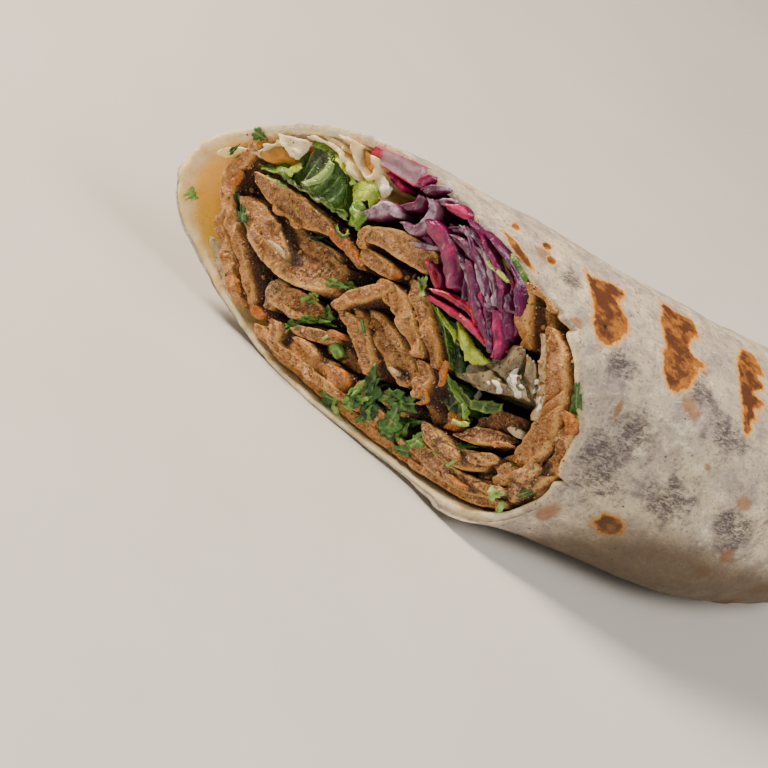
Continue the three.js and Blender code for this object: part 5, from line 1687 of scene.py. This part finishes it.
def landingTree(slots):
    allPoints, allTriangles, kinds, count = [], [], [], 0
    for piece, kind in slots:
        points, triangles = meshTriangles(piece.data)
        ahead = (points - cutMiddle) @ outward
        triangles = triangles[ahead[triangles].max(axis=1) > -landing["deepest"]]
        allPoints.append(points)
        allTriangles.append(triangles + count)
        kinds.append(np.full(len(triangles), kind))
        count += len(points)
    tree = BVHTree.FromPolygons(np.vstack(allPoints).tolist(), np.vstack(allTriangles).tolist())
    return tree, np.concatenate(kinds)


def hitCut(q, z):
    origin = cutPoint(q, z, landing["from"])
    place, _, index, distance = fillingTree.ray_cast(Vector(origin), Vector(-sight), 60)
    if place is None:
        return -landing["deepest"], -1
    return float((np.array(place) - cutMiddle) @ outward), int(fillingKinds[index])


def cutPoint(q, z, out):
    q, z, out = (np.asarray(v, float) for v in (q, z, out))
    return cutMiddle + q[..., None] * sideways + out[..., None] * sight + z[..., None] * np.array([0, 0, 1.0])


kindOf = {"flatbread": 0, "meat": 1, "lettuce": 2, "cabbage": 3, "onion": 4}
fillingTree, fillingKinds = landingTree([(o, kindOf[slot]) for o, slot in laid])


def frontSheet():
    q = np.arange(*landing["q"], landing["step"])
    z = np.arange(*landing["z"], landing["step"])
    out = np.zeros((len(z), len(q)))
    kind = np.zeros((len(z), len(q)), int)
    for i, height in enumerate(z):
        for j, across in enumerate(q):
            out[i, j], kind[i, j] = hitCut(across, height)
    grid = cutPoint(*np.meshgrid(q, z), out)
    part = gridPart(grid, onMeat=kind == kindOf["meat"], onOnion=kind == kindOf["onion"])
    level = out.reshape(-1)[part["faces"]]
    flat = np.ptp(level, axis=1) < landing["flatTo"]
    part["faces"] = part["faces"][flat & (level.min(axis=1) > -landing["stopAt"])]
    return part


scatterBase = makeMesh("scatter base", frontSheet(), finishes["meat"])
print("filling is mapped for garnish")


# Small loose bits: chips from a collection, strewn over the sheet where a named value says.
def strewnTree():
    tree, given, out = newTree("strewn bits", {
        "Chips": ("Collection", None), "Where": ("String", "onMeat"), "Per square cm": ("Float", 40.0),
        "Seed": ("Int", 1), "Smallest": ("Float", 0.4), "Largest": ("Float", 1.0),
        "Finish": ("Material", None)})
    where = wired(tree, "GeometryNodeInputNamedAttribute", {"Name": given["Where"]},
                  data_type="FLOAT").outputs[0]
    rate = wired(tree, "ShaderNodeMath", {"Value": given["Per square cm"], "Value_001": 10000.0},
                 operation="MULTIPLY").outputs[0]
    density = wired(tree, "ShaderNodeMath", {"Value": rate, "Value_001": where},
                    operation="MULTIPLY").outputs[0]
    spread = wired(tree, "GeometryNodeDistributePointsOnFaces",
                   {"Mesh": given["Geometry"], "Density": density, "Seed": given["Seed"]})
    chips = wired(tree, "GeometryNodeCollectionInfo",
                  {"Collection": given["Chips"], "Separate Children": True,
                   "Reset Children": True}).outputs[0]
    spin = wired(tree, "FunctionNodeRandomValue", {"Max": (6.28, 6.28, 6.28), "Seed": given["Seed"]},
                 data_type="FLOAT_VECTOR").outputs[0]
    size = wired(tree, "FunctionNodeRandomValue",
                 {"Min_001": given["Smallest"], "Max_001": given["Largest"], "Seed": given["Seed"]},
                 data_type="FLOAT").outputs[1]
    placed = wired(tree, "GeometryNodeInstanceOnPoints", {
        "Points": spread.outputs["Points"], "Instance": chips, "Pick Instance": True, "Rotation": spin,
        "Scale": size})
    shade = wired(tree, "FunctionNodeRandomValue", {"Max_001": 1.0, "Seed": given["Seed"]},
                  data_type="FLOAT").outputs[1]
    marked = wired(tree, "GeometryNodeStoreNamedAttribute",
                   {"Geometry": placed.outputs[0], "Name": "shade", "Value": shade},
                   data_type="FLOAT", domain="INSTANCE").outputs[0]
    real = wired(tree, "GeometryNodeRealizeInstances", {"Geometry": marked}).outputs[0]
    done = wired(tree, "GeometryNodeSetMaterial", {"Geometry": real, "Material": given["Finish"]}).outputs[0]
    tree.links.new(done, out["Geometry"])
    return tree


def ball(detail, radius):
    bits = bmesh.new()
    bmesh.ops.create_icosphere(bits, subdivisions=detail, radius=radius)
    points = np.array([v.co[:] for v in bits.verts])
    faces = np.array([[v.index for v in f.verts] for f in bits.faces])
    bits.free()
    return {"points": points, "faces": np.column_stack([faces, faces[:, 2]]), "values": {}}


def chipPart(seed, flat, detail, stretch):
    chip = ball(detail, 0.5)
    points = chip["points"]
    chip["points"] = points * (1 + 0.45 * noise(points, 0.45, seed))[:, None] * np.array([stretch, 1, flat])
    return chip


def chipCollection(name, count, flat, detail, stretch):
    collection = bpy.data.collections.new(name)
    for k in range(count):
        mesh = makeMesh(name, chipPart(k + 3, flat, detail, stretch), finishes["meat"])
        mesh.shade_flat()
        collection.objects.link(bpy.data.objects.new(name + str(k), mesh))
    return collection


def plainFinish(name, dark, light):
    material, tree, shader, coords = newFinish(name)
    shade = attributeIn(tree, "shade")
    grain = noiseIn(tree, coords, 0.5, 3)
    base = blended(tree, shade, dark, light)
    base = blended(tree, between(tree, grain, 0.35, 0.7, 0.35, 0), base, dark)
    tree.links.new(base, shader.inputs["Base Color"])
    setNode(shader, Roughness=0.5, Subsurface_Weight=0.1, Subsurface_Scale=0.001)
    bumped(tree, shader, grain, 0.15, 0.5)
    return material


# Name, chips (count, flatness, detail, stretch), where, per square cm, smallest, largest, colours, slot.
strewn = [
    ("meat_crumbs", (4, 0.7, 2, 1.2), "onMeat", 9, 0.35, 1.2, ("#6b3c1a", "#c08c50"), "meat"),
    ("red_spice", (3, 0.4, 1, 1.3), "onMeat", 24, 0.2, 0.5, ("#4e0c08", "#8a1c10"), "meat"),
    ("dark_spice", (3, 0.5, 1, 1.0), "onMeat", 22, 0.16, 0.42, ("#140b07", "#3a1c10"), "meat"),
    ("fat_grains", (3, 0.8, 1, 1.1), "onMeat", 34, 0.14, 0.42, ("#b98a50", "#ead2a4"), "meat"),
    ("onion_spice", (3, 0.4, 1, 1.2), "onOnion", 60, 0.3, 0.7, ("#4e0f12", "#8f1c1c"), "onion"),
    ("herb_flecks", (3, 0.25, 1, 1.8), "onMeat", 5, 0.3, 0.9, ("#16340f", "#3f6b1c"), "lettuce"),
]
strewnBits = strewnTree()
for seed, (name, chips, where, rate, smallest, largest, colours, slot) in enumerate(strewn):
    finishes[name] = plainFinish(name.replace("_", " "), *colours)
    collection = chipCollection(name, *chips)
    settings = {"Chips": collection, "Where": where, "Per square cm": float(rate), "Seed": seed + 2,
                "Smallest": smallest, "Largest": largest, "Finish": finishes[name]}
    addPiece(name, grown(scatterBase.copy(), strewnBits, settings), finishes[name], slot)
    for chip in list(collection.objects):
        bpy.data.objects.remove(chip)
    bpy.data.collections.remove(collection)
print("spice and crumbs are strewn")


# Parsley: leaflets laid on the filling, at (q, z), with size, length over width, turn, tone and lift.
parsley = [
    (-41.9, 38.8, 1.2, 1.2, 10, 0.35, 0.5), (-44.3, 32.4, 0.45, 3.4, 80, 0.2, 0.3),
    (-36.6, 23.6, 1.5, 1.7, -40, 0.12, 0.3), (-35.2, 22.2, 1.0, 1.8, -60, 0.25, 0.3),
    (-13.9, 18.2, 0.95, 2.2, 62, 0.75, 0.4), (-9.0, 17.6, 1.3, 1.2, 100, 0.6, 0.6),
    (-10.6, 14.6, 0.7, 3.6, 35, 0.55, 0.6), (-8.6, 15.8, 0.55, 3.6, 25, 0.3, 0.8),
    (-12.4, 12.6, 0.6, 2.6, 50, 0.4, 0.4), (-13.8, 9.8, 1.0, 1.9, 75, 0.7, 0.5),
    (-13.0, 11.6, 0.7, 1.8, 30, 0.5, 0.6), (7.0, 10.4, 2.1, 2.1, 95, 0.3, 0.9),
    (9.2, 8.2, 1.5, 2.2, 115, 0.15, 0.5), (6.2, 6.2, 1.3, 2.2, 60, 0.6, 0.9),
    (8.8, 13.4, 1.4, 1.4, 60, 0.1, 0.4), (12.2, 12.8, 1.9, 1.6, 25, 0.45, 0.9),
    (14.6, 13.6, 1.7, 1.8, 45, 0.3, 0.7), (12.4, 10.0, 1.2, 2.0, 70, 0.2, 0.5),
    (14.8, 8.4, 2.0, 1.6, 100, 0.4, 0.8), (17.2, 10.2, 1.3, 2.4, 50, 0.35, 1.0),
    (18.4, 7.6, 1.2, 2.0, 110, 0.5, 0.7), (16.0, 5.4, 1.1, 1.3, 20, 0.3, 0.6),
    (20.4, 5.0, 1.1, 1.5, 30, 0.4, 0.6), (21.4, 8.8, 1.3, 1.4, 75, 0.5, 0.7),
    (1.6, 2.8, 1.5, 1.3, 20, 0.4, 1.0), (29.8, 15.6, 0.6, 3.0, 40, 0.45, 0.8),
    (40.4, 11.6, 1.2, 1.3, 60, 0.8, 0.4), (45.0, 16.4, 0.8, 2.0, 60, 0.3, 0.3),
    (40.6, 40.6, 1.0, 2.6, -55, 0.3, 0.4), (42.2, 37.8, 1.0, 1.6, -60, 0.7, 0.3),
    (-20.4, 29.6, 0.55, 3.2, 40, 0.05, 0.2), (-18.4, 30.6, 0.5, 2.6, 10, 0.1, 0.2),
    (-11.4, 24.4, 0.9, 2.4, 30, 0.5, 0.4), (-9.0, 26.2, 0.8, 2.4, 25, 0.6, 0.4),
    (2.8, 37.2, 0.9, 2.2, 120, 0.9, 0.8), (-46.6, 17.8, 1.1, 1.3, 70, 0.75, 0.4),
    (9.8, 5.2, 1.0, 2.2, 80, 0.5, 0.8), (5.0, 8.8, 0.7, 3.0, 80, 0.65, 0.9),
]
# Stems and cut chives: (q, z) to (q, z), thickness, tone.
stems = [
    (-4.6, 13.4, -1.4, 12.0, 2.9, 0.55), (-2.8, 22.0, -0.6, 20.0, 0.9, 0.35),
    (42.6, 11.6, 44.0, 8.0, 1.6, 0.8), (29.4, 9.0, 30.2, 12.4, 0.8, 0.75),
    (24.2, 18.2, 26.4, 18.8, 0.9, 0.8), (3.4, 2.4, 5.2, 0.4, 1.7, 0.9), (2.6, 4.8, 3.4, 1.8, 0.9, 0.7),
    (-6.8, 12.4, -6.2, 14.0, 0.6, 0.8),
]
herbs = {"swell": 1.4, "skin": 0.12}


def herbFinish():
    material, tree, shader, coords = newFinish("parsley")
    tone, rib, shade = (attributeIn(tree, k) for k in ("tone", "rib", "shade"))
    broad = noiseIn(tree, coords, 1.4, 4, 0.6)
    hue = maths(tree, "ADD", tone, maths(tree, "MULTIPLY_ADD", broad, 1.3, -0.65))
    base = blended(tree, between(tree, hue, 0.05, 0.45), "#14280d", "#386a22")
    base = coated(tree, base, "#74a03c", hue, 0.42, 0.75)
    base = coated(tree, base, "#a9c872", hue, 0.65, 1.0)
    base = blended(tree, maths(tree, "MULTIPLY", rib, 0.5), base, "#a3bd7c")
    tree.links.new(base, shader.inputs["Base Color"])
    setNode(shader, Roughness=0.42, Subsurface_Weight=0.1, Subsurface_Scale=0.0008)
    shader.inputs["Subsurface Radius"].default_value = (0.5, 1.0, 0.3)
    bumped(tree, shader, maths(tree, "ADD", broad, noiseIn(tree, coords, 0.4, 3)), 0.25, 0.6)
    return material


def leaflet(spot, seed):
    q, z, size, stretch, turn, tone, lift = spot
    rings, spokes = 8, 40
    ring = np.linspace(0, 1, rings)[:, None]
    angle = np.linspace(0, 2 * math.pi, spokes, endpoint=False)[None, :]
    size = size * herbs["swell"]
    lobes = 0.78 + 0.20 * np.cos(3 * angle + seed) + 0.13 * np.cos(7 * angle + 2 * seed)
    lobes = lobes + 0.08 * np.cos(13 * angle)
    u = ring * lobes * np.cos(angle) * size * stretch
    v = ring * lobes * np.sin(angle) * size
    c, s = math.cos(math.radians(turn)), math.sin(math.radians(turn))
    across, up = q + u * c - v * s, z + u * s + v * c
    middleOut = max(hitCut(q, z)[0], -6)
    out = np.array([[hitCut(a, b)[0] for a, b in zip(*row)] for row in zip(across, up)])
    out = middleOut + np.clip(out - middleOut, -0.5, 1.2) * 0.8
    bend = 0.35 * lift * (u / size) ** 2 - 0.3 * np.exp(-(v / (0.25 * size)) ** 2)
    bend = bend + 0.25 * lift * (v / size) * math.sin(seed)
    out = out + 0.22 + bend
    flat = np.stack([across, up, 0 * up], axis=-1).reshape(-1, 3)
    out = out + 0.16 * noise(flat, 1.1, seed).reshape(out.shape)
    half = herbs["skin"] * np.sqrt(np.clip(1 - ring**6, 0, 1)) + 0 * angle
    skins = []
    for side in (1, -1):
        points = cutPoint(across, up, out + side * half)
        rib = np.exp(-(v / (0.09 * size)) ** 2) * (ring < 0.85)
        skins.append(gridPart(points, closed=True, tone=tone, rib=rib))
    skins[1]["faces"] = skins[1]["faces"][:, ::-1]
    return facingOut(welded(joined(skins)))


def stem(spot, seed):
    q0, z0, q1, z1, thick, tone = spot
    rings, spokes = 14, 14
    level = max(hitCut((q0 + q1) / 2, (z0 + z1) / 2)[0], -5) + thick * 0.4
    radius = thick / 2 * np.ones(rings)
    radius[[0, -1]] = 1e-6
    radius[[1, -2]] *= 0.8
    length = math.hypot(q1 - q0, z1 - z0)
    reach = np.linspace(0, 1, rings)
    reach[[1, -2]] = (0.02, 0.98)
    q, z = q0 + (q1 - q0) * reach, z0 + (z1 - z0) * reach
    side = np.array([-(z1 - z0), q1 - q0]) / length
    angle = np.linspace(0, 2 * math.pi, spokes, endpoint=False)[None, :]
    r = radius[:, None] * (1 + 0.12 * np.cos(5 * angle + seed))
    points = cutPoint(q[:, None] + side[0] * r * np.cos(angle), z[:, None] + side[1] * r * np.cos(angle),
                      level + r * np.sin(angle) + 0 * q[:, None])
    rib = np.cos(5 * angle) * 0.5 + 0 * q[:, None]
    return facingOut(welded(gridPart(points, closed=True, tone=tone, rib=rib)))


finishes["parsley"] = herbFinish()
chopped = [leaflet(spot, k) for k, spot in enumerate(parsley)]
chopped += [stem(spot, k) for k, spot in enumerate(stems)]
addPiece("chopped_parsley", joined(chopped), finishes["parsley"], "lettuce")
print("parsley is chopped")

# Garlic sauce: drops of (q, z, width, height) that run together.
sauce = {"drops": [(28, 35.4, 1.0, 1.5), (28.4, 34, 1.1, 1.3), (29.6, 33, 1.3, 0.8), (31.2, 32.4, 0.9, 1.0),
                   (26.4, 31.2, 1.0, 0.6), (27.8, 30.5, 0.9, 0.7), (32.4, 37.6, 0.5, 1.0),
                   (33.4, 36.2, 0.6, 1.1), (34.8, 34.8, 0.6, 1.0), (36, 33.4, 0.5, 0.9),
                   (-15, 47.6, 0.8, 1.1), (-14, 48.8, 0.7, 0.7), (25.4, 26.8, 0.8, 1.2),
                   (-33.6, 41.4, 1.2, 0.5), (30.6, 34.4, 0.5, 0.5), (25.2, 30.2, 0.5, 0.4)],
         "thick": 0.4, "voxel": 0.2}


def sauceFinish():
    material, tree, shader, coords = newFinish("garlic sauce")
    cloudy = noiseIn(tree, coords, 1.2, 3)
    tree.links.new(blended(tree, between(tree, cloudy, 0.35, 0.7), "#e9e4da", "#d6cbb4"),
                   shader.inputs["Base Color"])
    setNode(shader, Roughness=0.22, Subsurface_Weight=0.3, Subsurface_Scale=0.0015, Specular_IOR_Level=0.5)
    bumped(tree, shader, cloudy, 0.2, 0.5)
    return material


def saucePart():
    drop = ball(3, 1)
    parts = []
    for k, (q, z, wide, tall) in enumerate(sauce["drops"]):
        shape = drop["points"] * (1 + 0.4 * noise(drop["points"], 0.8, k))[:, None]
        across, up = q + shape[:, 0] * wide, z + shape[:, 1] * tall
        level = np.array([max(hitCut(a, b)[0], hitCut(q, z)[0] - 1.2) for a, b in zip(across, up)])
        points = cutPoint(across, up, level + sauce["thick"] * shape[:, 2])
        parts.append({**drop, "points": points})
    return joined(parts)


def remeshed(mesh, voxel):
    base = onScene(mesh)
    skin = base.modifiers.new("skin", "REMESH")
    skin.mode = "VOXEL"
    skin.voxel_size = voxel * mm
    skin.use_smooth_shade = True
    ease = base.modifiers.new("ease", "SMOOTH")
    ease.iterations = 3
    return applied(base)


finishes["sauce"] = sauceFinish()
sauceMesh = remeshed(makeMesh("drops", saucePart(), finishes["sauce"]), sauce["voxel"])
addPiece("garlic_sauce", sauceMesh, finishes["sauce"], "onion")
print("sauce is on")
